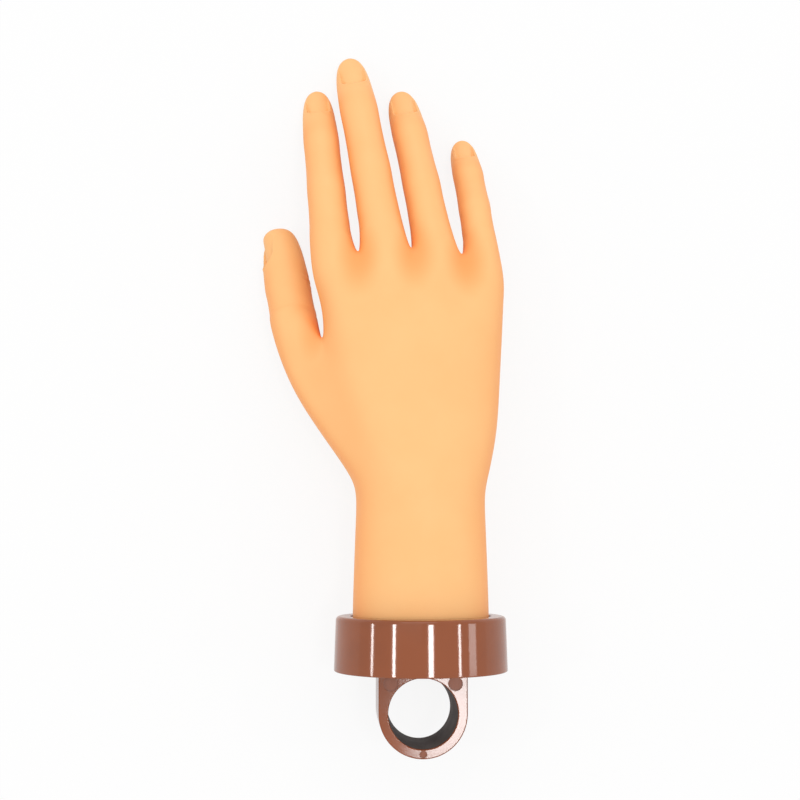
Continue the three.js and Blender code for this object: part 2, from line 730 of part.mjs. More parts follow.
function palmFrameSolid(grow) {
  const halfBar = LINK_WIDTH / 2 + grow;
  const radius = LINK_RADIUS + grow;
  const stem = prism(
    rectangle(-STEM_WIDTH / 2 - grow, STEM_START - grow, STEM_WIDTH / 2 + grow, PALM_PLATE_START + 6),
    -STEM_HEIGHT / 2 - grow, STEM_HEIGHT / 2 + grow, topMatrix(STEM_FRAME),
  );
  const thumbEdge = -PALM_PLATE_HALF_WIDTH - THUMB_SHOULDER;
  const plate = new THREE.Shape([
    new THREE.Vector2(-STEM_WIDTH / 2 - grow, PALM_PLATE_START - grow),
    new THREE.Vector2(STEM_WIDTH / 2 + grow, PALM_PLATE_START - grow),
    new THREE.Vector2(PALM_PLATE_HALF_WIDTH + grow, PALM_PLATE_END - PALM_PLATE_SHOULDER),
    new THREE.Vector2(PALM_PLATE_HALF_WIDTH + grow, PALM_PLATE_END + grow),
    new THREE.Vector2(thumbEdge - grow, PALM_PLATE_END + grow),
    new THREE.Vector2(thumbEdge - grow, PALM_PLATE_END - PALM_PLATE_SHOULDER),
  ]);
  const solids = [stem, prism(plate, -radius, radius, topMatrix(STEM_FRAME))];
  Object.entries(CHAINS).forEach(([name, chain], k) => {
    const segment = chain.segments[0];
    const headLength = name === 'thumb' ? THUMB_HEAD_LENGTH : KNUCKLE_HEAD_LENGTH;
    const headFrame = name === 'thumb' ? chain.joints[0] : segment;
    solids.push(prism(stadium(-headLength, 0, radius), -halfBar, halfBar, sideMatrix(headFrame), LINK_STEPS));
    const tail = segment.origin.clone().addScaledVector(segment.along, -headLength);
    const start = name === 'thumb'
      ? v3(-STEM_WIDTH / 2, PALM_PLATE_START + THUMB_ARM_START, AXIS_HEIGHT - 1)
      : v3(mix(thumbEdge, PALM_PLATE_HALF_WIDTH, (k + 0.5) / 4), PALM_PLATE_END - ARM_SEAT, AXIS_HEIGHT);
    solids.push(bar(start, tail, ARM_HALF + grow, ARM_HALF + grow));
  });
  return union(solids);
}

function palmFrame() {
  let frame = palmFrameSolid(0);
  Object.values(CHAINS).forEach((chain) => { frame = forked(frame, sideMatrix(chain.joints[0]), 0); });
  const hole = prism(disc(SCREW_RADIUS + FIT_GAP, 0, stemScrewY()), -20, 20, topMatrix(STEM_FRAME), 6);
  return frame.subtract(hole);
}

// Nail seat: a bed sunk into the fingertip, with a slot running under the cuticle
function nailSeat(name) {
  const finger = FINGERS[name];
  const segment = CHAINS[name].segments.at(-1);
  const [halfWidth, bedLength] = finger.nail;
  const bedRadius = finger.halfWidths.at(-1) + 0.4;
  const surface = finger.halfHeights.at(-1);
  const cuticle = segment.length - bedLength;
  const bedCentre = surface - SEAT_DEPTH - bedRadius;
  const outline = (start) => {
    const shape = new THREE.Shape();
    shape.absellipse(0, start + halfWidth * 0.6, halfWidth, halfWidth * 0.6, Math.PI, 2 * Math.PI, false, 0);
    shape.lineTo(halfWidth, segment.length + 8);
    shape.lineTo(-halfWidth, segment.length + 8);
    shape.closePath();
    return shape;
  };
  const round = (radius) => {
    const across = new THREE.Matrix4().makeBasis(segment.out, segment.across, segment.along)
      .setPosition(segment.origin.clone().addScaledVector(segment.out, bedCentre));
    return prism(disc(radius), -4, segment.length + 12, across, 10);
  };
  const bed = prism(outline(cuticle), 0, 20, topMatrix(segment), NAIL_STEPS).subtract(round(bedRadius));
  const slot = prism(outline(cuticle - SLOT_REACH), 0, 20, topMatrix(segment), NAIL_STEPS)
    .intersect(round(bedRadius + SLOT_THICKNESS)).subtract(round(bedRadius));
  return bed.add(slot);
}

// Skin sections, frame links and pins
const JOINT_NAMES = { four: ['proximal', 'middle', 'tip'], thumb: ['proximal', 'tip'] };

function addFinger(name) {
  const { segments, joints } = CHAINS[name];
  const labels = name === 'thumb' ? JOINT_NAMES.thumb : JOINT_NAMES.four;
  segments.forEach((segment, k) => {
    const last = k === segments.length - 1;
    const label = labels[k];
    let skin = skinBlank(name, k).subtract(linkHollow(segment, last));
    if (!last) skin = skin.subtract(sweepHollow(joints[k + 1]));
    if (last) skin = skin.subtract(nailSeat(name));
    addPiece(`${name}_${label}_skin`, skin, 'skin');
    addPiece(`${name}_${label}_link`, linkSolid(segment, !last), 'frame');
    addPiece(`${name}_${label}_pin`, pinSolid(joints[k]), 'steel');
  });
}

function addHand() {
  Object.keys(FINGERS).forEach(addFinger);
  let palm = palmBlank();
  Object.values(CHAINS).forEach((chain) => { palm = palm.subtract(sweepHollow(chain.joints[0])); });
  palm = palm.subtract(palmFrameSolid(CAVITY_GAP));
  const behind = rectangle(-60, -60, 60, FLANGE_FRONT + FIT_GAP);
  palm = palm.subtract(prism(behind, -60, 60, topMatrix(STEM_FRAME)));
  palm = palm.subtract(plugBody(FIT_GAP));
  addPiece('palm_skin', palm, 'skin');
  addPiece('palm_frame', palmFrame(), 'frame');
}

// Wrist: an oval cut across the hand's axis
function oval(halfWidth, halfThickness) {
  const shape = new THREE.Shape();
  shape.absellipse(0, 0, halfWidth, halfThickness, 0, 2 * Math.PI, false, 0);
  return shape;
}

const LENGTHWISE = new THREE.Matrix4()
  .makeBasis(v3(0, 0, 1), v3(1, 0, 0), v3(0, 1, 0))
  .setPosition(0, 0, AXIS_HEIGHT);
const WRIST_OUTER = [WRIST_HALF_WIDTH + WRIST_FLARE, WRIST_HALF_THICKNESS + SLEEVE_FLARE];
const COVER_FRONT = COVER_RECESS + COVER_THICKNESS;
const FLANGE_BACK = COVER_FRONT + FIT_GAP;
const FLANGE_FRONT = FLANGE_BACK + FLANGE_THICKNESS;
const ovalAcross = (grow) => oval(WRIST_OUTER[1] + grow, WRIST_OUTER[0] + grow);

const stemScrewY = () => (STEM_START + PLUG_END) / 2 + 4;

function plugBody(grow) {
  return prism(ovalAcross(-SLEEVE_WALL + grow), FLANGE_FRONT - 1, PLUG_END + grow, LENGTHWISE, 14);
}

function screwPlaces() {
  return [45, 135, 225, 315].map((angle) => [
    SCREW_CIRCLE_RADIUS * Math.cos(rad(angle)), SCREW_CIRCLE_RADIUS * Math.sin(rad(angle)),
  ]);
}

function wristPlug() {
  const flange = prism(disc(FLANGE_RADIUS), FLANGE_BACK, FLANGE_FRONT, LENGTHWISE, 18);
  const stemHole = prism(
    rectangle(-STEM_WIDTH / 2 - FIT_GAP, STEM_START - FIT_GAP, STEM_WIDTH / 2 + FIT_GAP, PLUG_END + 5),
    -STEM_HEIGHT / 2 - FIT_GAP, STEM_HEIGHT / 2 + FIT_GAP, topMatrix(STEM_FRAME),
  );
  let plug = flange.add(plugBody(0)).subtract(stemHole);
  screwPlaces().forEach(([x, z]) => {
    plug = plug.subtract(prism(disc(SCREW_RADIUS + FIT_GAP, z, x), 0, FLANGE_FRONT + 1, LENGTHWISE, 6));
  });
  const top = AXIS_HEIGHT + STEM_SCREW_LENGTH * 0.5;
  const seat = topMatrix(STEM_FRAME);
  const y = stemScrewY();
  const rise = top - AXIS_HEIGHT - FIT_GAP;
  plug = plug.subtract(prism(disc(SCREW_RADIUS + FIT_GAP, 0, y), rise - STEM_SCREW_LENGTH, 40, seat, 6));
  return plug.subtract(prism(disc(SCREW_HEAD_RADIUS + FIT_GAP, 0, y), rise, 40, seat, 6));
}

// Screw with a domed head, its shank along +Z from the underside of the head
function screwGeometry(length) {
  const profile = [
    [0, SCREW_HEAD_HEIGHT], [SCREW_HEAD_RADIUS * 0.6, SCREW_HEAD_HEIGHT * 0.9],
    [SCREW_HEAD_RADIUS, SCREW_HEAD_HEIGHT * 0.35], [SCREW_HEAD_RADIUS, 0],
    [SCREW_RADIUS, 0], [SCREW_RADIUS, -length + 2], [0, -length],
  ].reverse().map(([r, y]) => new THREE.Vector2(r, y));
  return new THREE.LatheGeometry(profile, 12);
}

function crossedScrew(length, matrix) {
  const screw = solidOf(screwGeometry(length), matrix);
  const recess = [0, 90].map((turn) => {
    const turned = matrix.clone().multiply(new THREE.Matrix4().makeRotationY(rad(turn)));
    const box = new THREE.BoxGeometry(3, 1.8, 0.7);
    box.translate(0, SCREW_HEAD_HEIGHT, 0);
    return solidOf(box, turned);
  });
  return screw.subtract(union(recess));
}

function baseCup() {
  const slope = (CUP_FRONT_RADIUS - CUP_BACK_RADIUS) / CUP_LENGTH;
  const outer = (y) => CUP_BACK_RADIUS + slope * y;
  const shape = new THREE.Shape();
  const inside = CUP_LENGTH - CUP_FACE;
  shape.moveTo(0.0, inside);
  shape.lineTo(outer(inside) - CUP_WALL, inside);
  shape.lineTo(outer(0) - CUP_WALL, 0);
  shape.lineTo(outer(0) - CUP_BACK_ROUND, 0);
  shape.quadraticCurveTo(outer(0), 0, outer(CUP_BACK_ROUND), CUP_BACK_ROUND);
  shape.lineTo(outer(CUP_LENGTH - CUP_FRONT_ROUND), CUP_LENGTH - CUP_FRONT_ROUND);
  shape.quadraticCurveTo(CUP_FRONT_RADIUS, CUP_LENGTH, CUP_FRONT_RADIUS - CUP_FRONT_ROUND, CUP_LENGTH);
  shape.lineTo(0, CUP_LENGTH);
  const profile = shape.getPoints(3);
  const lathe = new THREE.LatheGeometry([...profile, profile[0]], 36);
  const place = new THREE.Matrix4().setPosition(0, 0, AXIS_HEIGHT);
  const collarOval = ovalAcross(FIT_GAP + COLLAR_WALL);
  const collar = prism(collarOval, FLANGE_FRONT + FIT_GAP, CUP_LENGTH - 1, LENGTHWISE, 14);
  const mouth = prism(ovalAcross(FIT_GAP), 0, CUP_LENGTH + 4, LENGTHWISE, 14);
  return solidOf(lathe, place).add(collar).subtract(mouth);
}

// The eye is a U-shaped lug whose bore runs straight up, so that a clamp's post can stand in it
function eyeCover() {
  const outerRadius = EYE_WIDTH / 2;
  const boreY = -EYE_REACH + outerRadius;
  const plan = new THREE.Shape();
  plan.moveTo(-outerRadius, COVER_RECESS + 1);
  plan.absarc(0, boreY, outerRadius, Math.PI, 2 * Math.PI, false);
  plan.lineTo(outerRadius, COVER_RECESS + 1);
  plan.closePath();
  const top = topMatrix(STEM_FRAME);
  const half = EYE_DEPTH / 2;
  const inner = CUP_BACK_RADIUS - CUP_WALL + (CUP_FRONT_RADIUS - CUP_BACK_RADIUS) * COVER_FRONT / CUP_LENGTH;
  const plate = prism(disc(inner - FIT_GAP), COVER_RECESS, COVER_FRONT, LENGTHWISE, 20);
  let cover = plate.add(prism(plan, -half, half, top, 14));
  cover = cover.subtract(prism(disc(BORE_RADIUS, 0, boreY), -half - 1, half + 1, top, 20));
  [[-CORNER_MARK_X, -CORNER_MARK_Y], [CORNER_MARK_X, -CORNER_MARK_Y]].forEach(([x, y]) => {
    cover = cover.subtract(prism(disc(CORNER_MARK_RADIUS, x, y), half - MARK_DEPTH, half + 1, top, 8));
  });
  const wallMiddle = boreY - (outerRadius + BORE_RADIUS) / 2;
  cover = cover.subtract(prism(disc(WALL_MARK_RADIUS, 0, wallMiddle), half - MARK_DEPTH, half + 1, top, 6));
  screwPlaces().forEach(([x, z]) => {
    cover = cover.subtract(prism(disc(SCREW_RADIUS + FIT_GAP, z, x), 0, COVER_FRONT + 1, LENGTHWISE, 6));
  });
  return cover;
}

function addBase() {
  addPiece('base_cup', baseCup(), 'base');
  addPiece('eye_cover', eyeCover(), 'base');
  addPiece('wrist_plug', wristPlug(), 'frame');
  screwPlaces().forEach(([x, z], k) => {
    const matrix = new THREE.Matrix4().makeRotationX(Math.PI)
      .setPosition(x, COVER_RECESS - FIT_GAP, AXIS_HEIGHT + z);
    addPiece(`base_screw_${k + 1}`, crossedScrew(BASE_SCREW_LENGTH, matrix), 'steel');
  });
  const upright = new THREE.Matrix4().makeRotationX(Math.PI / 2)
    .setPosition(0, stemScrewY(), AXIS_HEIGHT + STEM_SCREW_LENGTH * 0.5);
  addPiece('stem_screw', crossedScrew(STEM_SCREW_LENGTH, upright), 'steel');
}

addHand();
addBase();

// The origin stands on the table, under the middle of the part
const box = new THREE.Box3().setFromObject(hand);
const middle = box.getCenter(new THREE.Vector3());
hand.position.set(-middle.x, -middle.y, -box.min.z);
hand.updateMatrixWorld(true);

// The hinges, for whoever drives them: each turns its child from rest to its range about the axis
hand.userData.hinges = Object.entries(CHAINS).flatMap(([name, { joints }]) => {
  const labels = name === 'thumb' ? JOINT_NAMES.thumb : JOINT_NAMES.four;
  return joints.map((joint, k) => ({
    name: `${name}_${labels[k]}_hinge`,
    parent: k ? `${name}_${labels[k - 1]}` : 'root',
    child: `${name}_${labels[k]}`,
    at: joint.origin.clone(),
    axis: joint.across.clone().negate(),
    range: joint.bend,
  }));
});

export default hand;
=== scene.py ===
import json
import math

import bmesh
import bpy
import numpy as np
from mathutils import Matrix, Vector

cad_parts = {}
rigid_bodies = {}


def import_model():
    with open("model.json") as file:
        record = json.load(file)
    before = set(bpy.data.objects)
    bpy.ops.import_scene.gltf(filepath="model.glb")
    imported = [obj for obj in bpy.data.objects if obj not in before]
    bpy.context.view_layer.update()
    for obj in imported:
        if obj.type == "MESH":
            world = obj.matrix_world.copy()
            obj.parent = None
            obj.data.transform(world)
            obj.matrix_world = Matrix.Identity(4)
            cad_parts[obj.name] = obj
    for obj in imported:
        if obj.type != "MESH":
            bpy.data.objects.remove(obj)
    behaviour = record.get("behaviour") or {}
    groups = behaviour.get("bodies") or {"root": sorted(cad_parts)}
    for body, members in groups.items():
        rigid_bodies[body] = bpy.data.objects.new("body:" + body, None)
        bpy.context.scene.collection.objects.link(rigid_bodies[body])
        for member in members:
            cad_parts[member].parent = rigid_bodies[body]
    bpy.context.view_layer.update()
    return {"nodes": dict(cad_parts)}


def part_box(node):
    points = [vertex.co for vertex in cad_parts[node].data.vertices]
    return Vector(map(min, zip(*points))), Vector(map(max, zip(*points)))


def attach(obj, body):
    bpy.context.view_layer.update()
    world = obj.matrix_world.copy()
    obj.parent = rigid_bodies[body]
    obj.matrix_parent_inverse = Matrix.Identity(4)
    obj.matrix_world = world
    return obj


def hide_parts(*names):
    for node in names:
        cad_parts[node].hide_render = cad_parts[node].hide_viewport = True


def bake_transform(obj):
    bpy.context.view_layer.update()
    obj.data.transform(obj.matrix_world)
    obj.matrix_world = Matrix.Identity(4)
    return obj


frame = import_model()

bl_info = {
    "name": "Nail art practice hand",
    "version": (1, 0, 0),
    "blender": (4, 5, 0),
    "location": "View3D > Sidebar > Practice hand",
    "description": "A soft practice hand over a posable frame, in a glossy base with a clamp eye",
    "category": "Add Mesh",
}

# The hand is drawn in millimetres in its own frame: fingers along +Y, back of the hand up, the middle
# of the frame's cup on the Y axis. TO_ROW puts a finished mesh where the frame stands, in metres.
CUP_LOW, CUP_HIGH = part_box("base_cup")
ORIGIN = Vector(((CUP_LOW.x + CUP_HIGH.x) / 2, CUP_LOW.y, 0))
TO_ROW = Matrix.Translation(ORIGIN) @ Matrix.Scale(0.001, 4)
UP = Vector((0, 0, 1))

# Fingers: root hinge, lean towards the thumb, roll, and for each section its length and its slope below
# level; half widths and half heights from the root to the nail; the nail seat's half width and length
FINGERS = {
    "index": dict(
        root=(-35.6, 170.5, 34.0), lean=5.2, roll=0, lengths=(21.7, 25, 28.3), slopes=(15, 24.5, 34.1),
        widths=(8.4, 7.7, 7.3, 6.9), heights=(8.0, 7.5, 6.7, 6.3), nail=(4.7, 17.5),
    ),
    "middle": dict(
        root=(-15.6, 174.5, 35.9), lean=9.2, roll=0, lengths=(27.1, 29.9, 28.6), slopes=(14, 23, 32),
        widths=(8.8, 8.1, 7.8, 7.4), heights=(8.4, 7.8, 7.0, 6.6), nail=(5.1, 19.6),
    ),
    "ring": dict(
        root=(4.3, 173.5, 34.2), lean=9.6, roll=0, lengths=(22.1, 25.9, 25.2), slopes=(15, 25.5, 37),
        widths=(8.2, 7.6, 7.3, 6.9), heights=(8.0, 7.4, 6.7, 6.3), nail=(4.8, 19.2),
    ),
    "little": dict(
        root=(24.3, 170.8, 29.0), lean=6.2, roll=0, lengths=(16, 18.2, 20.5), slopes=(18, 30, 40.5),
        widths=(6.8, 6.5, 6.3, 5.8), heights=(6.6, 6.3, 5.8, 5.3), nail=(3.8, 15.6),
    ),
    "thumb": dict(
        root=(-50.3, 139.5, 17.8), lean=10.2, roll=67.5, lengths=(15.6, 26.2), slopes=(15, 15),
        widths=(9.6, 9.6, 8.9), heights=(9.5, 9.3, 7.7), nail=(5.6, 16.8),
    ),
}
KNUCKLED = ("index", "middle", "ring", "little")
LABELS = {3: ("proximal", "middle", "tip"), 2: ("proximal", "tip")}
THUMB_WEB = Vector((-38.5, 127.5, 25.5))

# Stations along a section: share of its length, and the taper of its sides, of its back and of its pad
TIP_STATIONS = (
    (0.28, 0.975, 1.0, 1.0), (0.5, 0.94, 1.0, 0.99), (0.68, 0.87, 0.97, 0.94), (0.82, 0.76, 0.88, 0.84),
    (0.92, 0.58, 0.72, 0.64), (0.975, 0.30, 0.46, 0.38),
)
OTHER_STATIONS = ((0.27, 1, 1, 1), (0.5, 1, 1, 1), (0.75, 1, 1, 1))
RING = 8
RING_SWELL = 1.108
FINGER_WAIST = 0.03
FITTING_ROUNDS = 10

# The wrist where it enters the cup: how much wider and thicker each side is than at its waist
WRIST_FLARE = (1.15, 2.2)
# The wrist's stations: y, and how much wider and thicker each side is than at the waist
WRIST_STATIONS = ((11.9, *WRIST_FLARE), (25, 1.15, 1.8), (58, 0, -0.6))
# The palm's stations: y, share of the way to the split, how much wider on the thumb's and on the other side
PALM_STATIONS = ((70, 0, -0.5, -0.5), (77, 0.08, -0.7, 0.8), (94, 0.42, 0.8, 2.1), (111, 0.72, 2.1, 0.9))
# From the split to the knuckles: shares of the way, depth of the pad and of the waist on the thumb's side
UPPER_STATIONS = (0.36, 0.72, 1)
PAD_DEPTH = 2.6
THUMB_SIDE_WAIST = 2.4
# The section of the hand where the thumb parts from it: columns of x, y, top and bottom, and its sides
COLUMNS = 11
SPLIT = dict(
    columns=[
        (-55.4, 127, 25, 12), (-48.5, 128, 28.5, 8.5), (-39, 128, 37, 13.5), (-31.5, 129, 45.5, 17),
        (-23, 129, 49, 18), (-14, 130, 50.5, 18.5), (-5, 130, 50.8, 18.5), (5, 130, 50.2, 18),
        (15, 129, 48.2, 17), (24, 129, 44.5, 17), (30.5, 128, 39, 21.5),
    ],
    thumb_side=Vector((-57.6, 127, 18.4)), little_side=Vector((33.6, 128, 30.5)), inner_side=THUMB_WEB,
)
# The section at the knuckles: how far it lies before the root hinges, and its height over and under the
# middle in the valleys and at its two edges
KNUCKLE_SETBACK = 12.5
EDGE_SETBACK = 3
VALLEY = (5.2, -5.6)
INDEX_EDGE = (5.6, -6.2)
LITTLE_EDGE = (4.8, -5.4)

# Where the skin is parted: depth and narrowing of the funnel that closes an end
FUNNEL_DEPTH = 2.5
FUNNEL_NARROWING = 0.4
# How far the painted shade in a web spreads across, along and up
WEB_SHADE_REACH = np.array((9, 15, 12))

# The base: where it starts, the plug's flange inside it, the screws' circle and holes, the eye's marks
BASE_START = 1.0
PLUG_FLANGE = 5
SCREW_CIRCLE = 25.2
SCREW_HOLE = 1.75
SIDE_MARK = dict(x=12.3, y=-2.7, radius=2.8)
END_MARK_RADIUS = 1.5
EYE_EDGE_ROUND = 0.45


# Sizes and colours

def size(name, description, value):
    """A size in mm, for the panel."""
    return bpy.props.FloatProperty(name=name, description=f"{description}, in mm", default=value)


def tint(name, description, value):
    """A colour, for the panel."""
    return bpy.props.FloatVectorProperty(
        name=name, description=description, subtype="COLOR", size=3, default=value)


class HandSizes(bpy.types.PropertyGroup):
    smoothness: bpy.props.IntProperty(
        name="Smoothness", description="Rounds of subdivision of the skin", default=4, min=2, max=5)
    wrist_half_width: size("Wrist half width", "Half the wrist's width", 26.0)
    wrist_half_thickness: size("Wrist half thickness", "Half the wrist's thickness", 21.0)
    seat_depth: size("Nail seat depth", "How deep the nail beds are sunk", 1.3)
    slot_depth: size("Nail slot depth", "Extra depth of the slot under the cuticle", 0.45)
    fold_height: size("Cuticle fold height", "Rise of the fold round the bed", 0.22)
    crease_depth: size("Crease depth", "Depth of the creases on the palm side", 0.55)
    bend_reach: size("Bend reach", "How far the skin bends on each side of a hinge", 8.0)


class BaseSizes(bpy.types.PropertyGroup):
    length: size("Length", "Length of the cup", 21.2)
    back_radius: size("Back radius", "Radius at the open end", 33.8)
    front_radius: size("Front radius", "Radius at the hand's end", 33.1)
    wall: size("Wall", "Wall of the cup", 2.4)
    face: size("Face", "Thickness of the face", 2.6)
    front_round: size("Front rounding", "Rounding of the hand's rim", 1.5)
    back_round: size("Back rounding", "Rounding of the open rim", 0.5)
    fit_gap: size("Fit gap", "Clearance between pieces", 0.3)
    collar_wall: size("Collar wall", "Wall round the wrist", 1.8)
    recess: size("Cover recess", "How far the cover lies inside", 1.6)
    cover: size("Cover thickness", "Thickness of the cover plate", 3.4)
    eye_width: size("Eye width", "Width of the eye", 34.0)
    eye_depth: size("Eye depth", "Length of the bore", 28.0)
    mark_depth: size("Mark depth", "Depth of the ejector marks", 0.45)
    eye_reach: size("Eye reach", "How far the eye stands out", 32.0)
    bore_radius: size("Bore radius", "Radius of the bore's upper end", 13.3)
    bore_draft: size("Bore draft", "How much narrower the bore's lower end is", 0.8)


class Colours(bpy.types.PropertyGroup):
    skin: tint("Skin", "Soft peach skin", (0.985, 0.552, 0.226))
    # Darker orange for the painted shade at the sides of the hand and in the webs between the fingers
    shaded_skin: tint("Warm skin", "Skin between and beside the fingers", (0.985, 0.38, 0.112))
    base: tint("Base", "Brown plastic of the base", (0.285, 0.075, 0.024))
    # Dark grey painted as shade and as a grey reflection inside the eye's bore, which is the base's brown
    # plastic
    bore: tint("Bore", "Dull plastic inside the eye's bore", (0.075, 0.05, 0.042))
    frame: tint("Frame", "Moulded inner frame", (0.80, 0.78, 0.72))
    steel: tint("Steel", "Pins and screws", (0.55, 0.56, 0.58))


# Shaping

def new_object(name, bm):
    """Turns a bmesh into a linked object and frees it."""
    mesh = bpy.data.meshes.new(name)
    bm.to_mesh(mesh)
    bm.free()
    obj = bpy.data.objects.new(name, mesh)
    bpy.context.scene.collection.objects.link(obj)
    return obj


def edge_between(a, b):
    return next(edge for edge in a.link_edges if edge.other_vert(a) is b)


def close_ring(loop):
    """The edges of a closed loop of vertices."""
    return [edge_between(a, b) for a, b in zip(loop, loop[1:] + loop[:1])]


def extend(bm, loop, places):
    """Extrudes a closed loop and moves each new vertex to its place. Returns the new loop and faces."""
    made = bmesh.ops.extrude_edge_only(bm, edges=close_ring(loop))["geom"]
    fresh = {item for item in made if isinstance(item, bmesh.types.BMVert)}
    outer = []
    for vert, place in zip(loop, places):
        new = next(e.other_vert(vert) for e in vert.link_edges if e.other_vert(vert) in fresh)
        new.co = place
        outer.append(new)
    return outer, [item for item in made if isinstance(item, bmesh.types.BMFace)]


def apply_modifiers(obj):
    bpy.context.view_layer.objects.active = obj
    for modifier in list(obj.modifiers):
        bpy.ops.object.modifier_apply(modifier=modifier.name)


def cut_with(obj, cutter, operation="DIFFERENCE"):
    """Cuts or joins another object, which is then removed."""
    modifier = obj.modifiers.new("cut", "BOOLEAN")
    modifier.operation = operation
    modifier.solver = "EXACT"
    modifier.object = cutter
    apply_modifiers(obj)
    bpy.data.objects.remove(cutter)


def shade(obj, angle=30):
    """Smooth shading that keeps edges sharper than the angle, and large faces flat beside narrow rounds."""
    mesh = obj.data
    mesh.polygons.foreach_set("use_smooth", [True] * len(mesh.polygons))
    mesh.set_sharp_from_angle(angle=math.radians(angle))
    modifier = obj.modifiers.new("even", "WEIGHTED_NORMAL")
    modifier.keep_sharp = True
    modifier.weight = 100
    apply_modifiers(obj)


def set_in_row(obj, material):
    """Moves a finished mesh into the row's frame and gives it its finish."""
    obj.data.transform(TO_ROW)
    obj.data.materials.clear()
    obj.data.materials.append(material)


def rod(radius, low, high, axis, centre, segments=96):
    """A plain cylinder, as a cutter, from low to high along an axis."""
    bm = bmesh.new()
    bmesh.ops.create_cone(
        bm, cap_ends=True, segments=segments, radius1=radius, radius2=radius, depth=high - low)
    bmesh.ops.translate(bm, vec=(0, 0, (low + high) / 2), verts=bm.verts)
    if axis == "Y":
        turn = Matrix.Rotation(-math.pi / 2, 3, "X")
        bmesh.ops.rotate(bm, cent=(0, 0, 0), matrix=turn, verts=bm.verts)
    bmesh.ops.translate(bm, vec=centre, verts=bm.verts)
    bmesh.ops.recalc_face_normals(bm, faces=bm.faces)
    return new_object("cutter", bm)


# The chain of a finger

def make_chain(finger):
    """Frames of a finger's sections and hinges: origin, along, across and out of the back."""
    lean = math.radians(finger["lean"])
    heading = Vector((-math.sin(lean), math.cos(lean), 0))
    side = heading.cross(UP)
    sections = []
    origin = Vector(finger["root"])
    for length, slope in zip(finger["lengths"], finger["slopes"]):
        slope = math.radians(slope)
        along = heading * math.cos(slope) - UP * math.sin(slope)
        across = Matrix.Rotation(-math.radians(finger["roll"]), 3, along) @ side
        out = across.cross(along)
        sections.append(dict(origin=origin.copy(), along=along, across=across, out=out, length=length))
        origin = origin + along * length
    hinges = []
    for k, section in enumerate(sections):
        along = (sections[max(k - 1, 0)]["along"] + section["along"]).normalized()
        across = section["across"]
        out = across.cross(along).normalized()
        hinges.append(dict(origin=section["origin"], along=along, across=across, out=out))
    return sections, hinges


CHAINS = {name: make_chain(finger) for name, finger in FINGERS.items()}


def girth(name, k, share):
    """Half width and half height at a share of a section's length."""
    finger = FINGERS[name]
    last = k == len(finger["lengths"]) - 1
    waist = 1 - (0 if last else FINGER_WAIST) * math.sin(math.pi * share)
    halves = []
    for sizes in (finger["widths"], finger["heights"]):
        halves.append((sizes[k] + (sizes[k + 1] - sizes[k]) * share) * waist)
    return halves


def ring_at(station, across, s, half_width, half_height, roll, rise=0):
    """Eight points round a finger, from the back of its thumb side towards the little finger."""
    out = across.cross(station["along"])
    points = []
    for i in range(RING):
        angle = math.radians(135 - 360 * i / RING - roll)
        sideways = half_width * math.cos(angle) * RING_SWELL
        outwards = rise + half_height * math.sin(angle) * RING_SWELL
        points.append(station["origin"] + station["along"] * s + across * sideways + out * outwards)
    return points


def finger_rings(name):
    """Rings of a finger from root hinge to tip, each with the section that its far side belongs to."""
    roll = FINGERS[name]["roll"]
    sections, hinges = CHAINS[name]
    rings = []
    for k, section in enumerate(sections):
        last = k == len(sections) - 1
        rings.append((ring_at(hinges[k], section["across"], 0, *girth(name, k, 0), roll), k))
        for share, side, back, pad in (TIP_STATIONS if last else OTHER_STATIONS):
            half_width, half_height = girth(name, k, share)
            ring = ring_at(section, section["across"], share * section["length"], half_width * side,
                           half_height * (back + pad) / 2, roll, half_height * (back - pad) / 2)
            rings.append((ring, k if last or share < 0.5 else k + 1))
    return rings


def fitted(before, rings):
    """Moves rings outwards so that the smoothed surface passes through where they were."""
    targets = [before] + rings
    moved = [list(ring) for ring in targets]
    for _ in range(FITTING_ROUNDS):
        for i in range(1, len(targets)):
            after = moved[i + 1] if i + 1 < len(targets) else moved[i]
            for j in range(RING):
                smooth = (moved[i - 1][j] + moved[i][j] * 4 + after[j]) / 6
                moved[i][j] = moved[i][j] + (targets[i][j] - smooth)
    return moved[1:]


# Sections of wrist and palm

def oval_section(y, half_width, half_thickness, height):
    """An oval across the wrist. Its columns stop short of its sides by the edge angle."""
    edge = math.radians(20)
    columns = []
    for j in range(COLUMNS):
        angle = math.pi - edge - (math.pi - 2 * edge) * j / (COLUMNS - 1)
        rise = half_thickness * math.sin(angle)
        columns.append((half_width * math.cos(angle), y, height + rise, height - rise))
    thumb_side = Vector((-half_width, y, height))
    return dict(columns=columns, thumb_side=thumb_side, little_side=Vector((half_width, y, height)))


def mix_sections(a, b, t, first=0):
    """A section between two, from the first column of a onwards."""
    columns = []
    for from_column, to_column in zip(a["columns"][first:], b["columns"]):
        columns.append(tuple(p + (q - p) * t for p, q in zip(from_column, to_column)))
    thumb_side = a["inner_side"] if first else a["thumb_side"]
    return dict(
        columns=columns,
        thumb_side=thumb_side.lerp(b["thumb_side"], t),
        little_side=a["little_side"].lerp(b["little_side"], t),
    )


def palm_section(wrist, y, t, thumb_widen, little_widen):
    """A section between wrist and split, widened on each side."""
    section = mix_sections(wrist, SPLIT, t)
    reach = section["little_side"].x
    columns = []
    for x, _, top, bottom in section["columns"]:
        share = x / reach
        widen = little_widen if share > 0 else thumb_widen
        columns.append((x + widen * share, y, top, bottom + 0.5 * thumb_widen * min(share, 0)))
    section["columns"] = columns
    section["thumb_side"].x -= thumb_widen
    section["little_side"].x += little_widen
    section["thumb_side"].y = section["little_side"].y = y
    return section


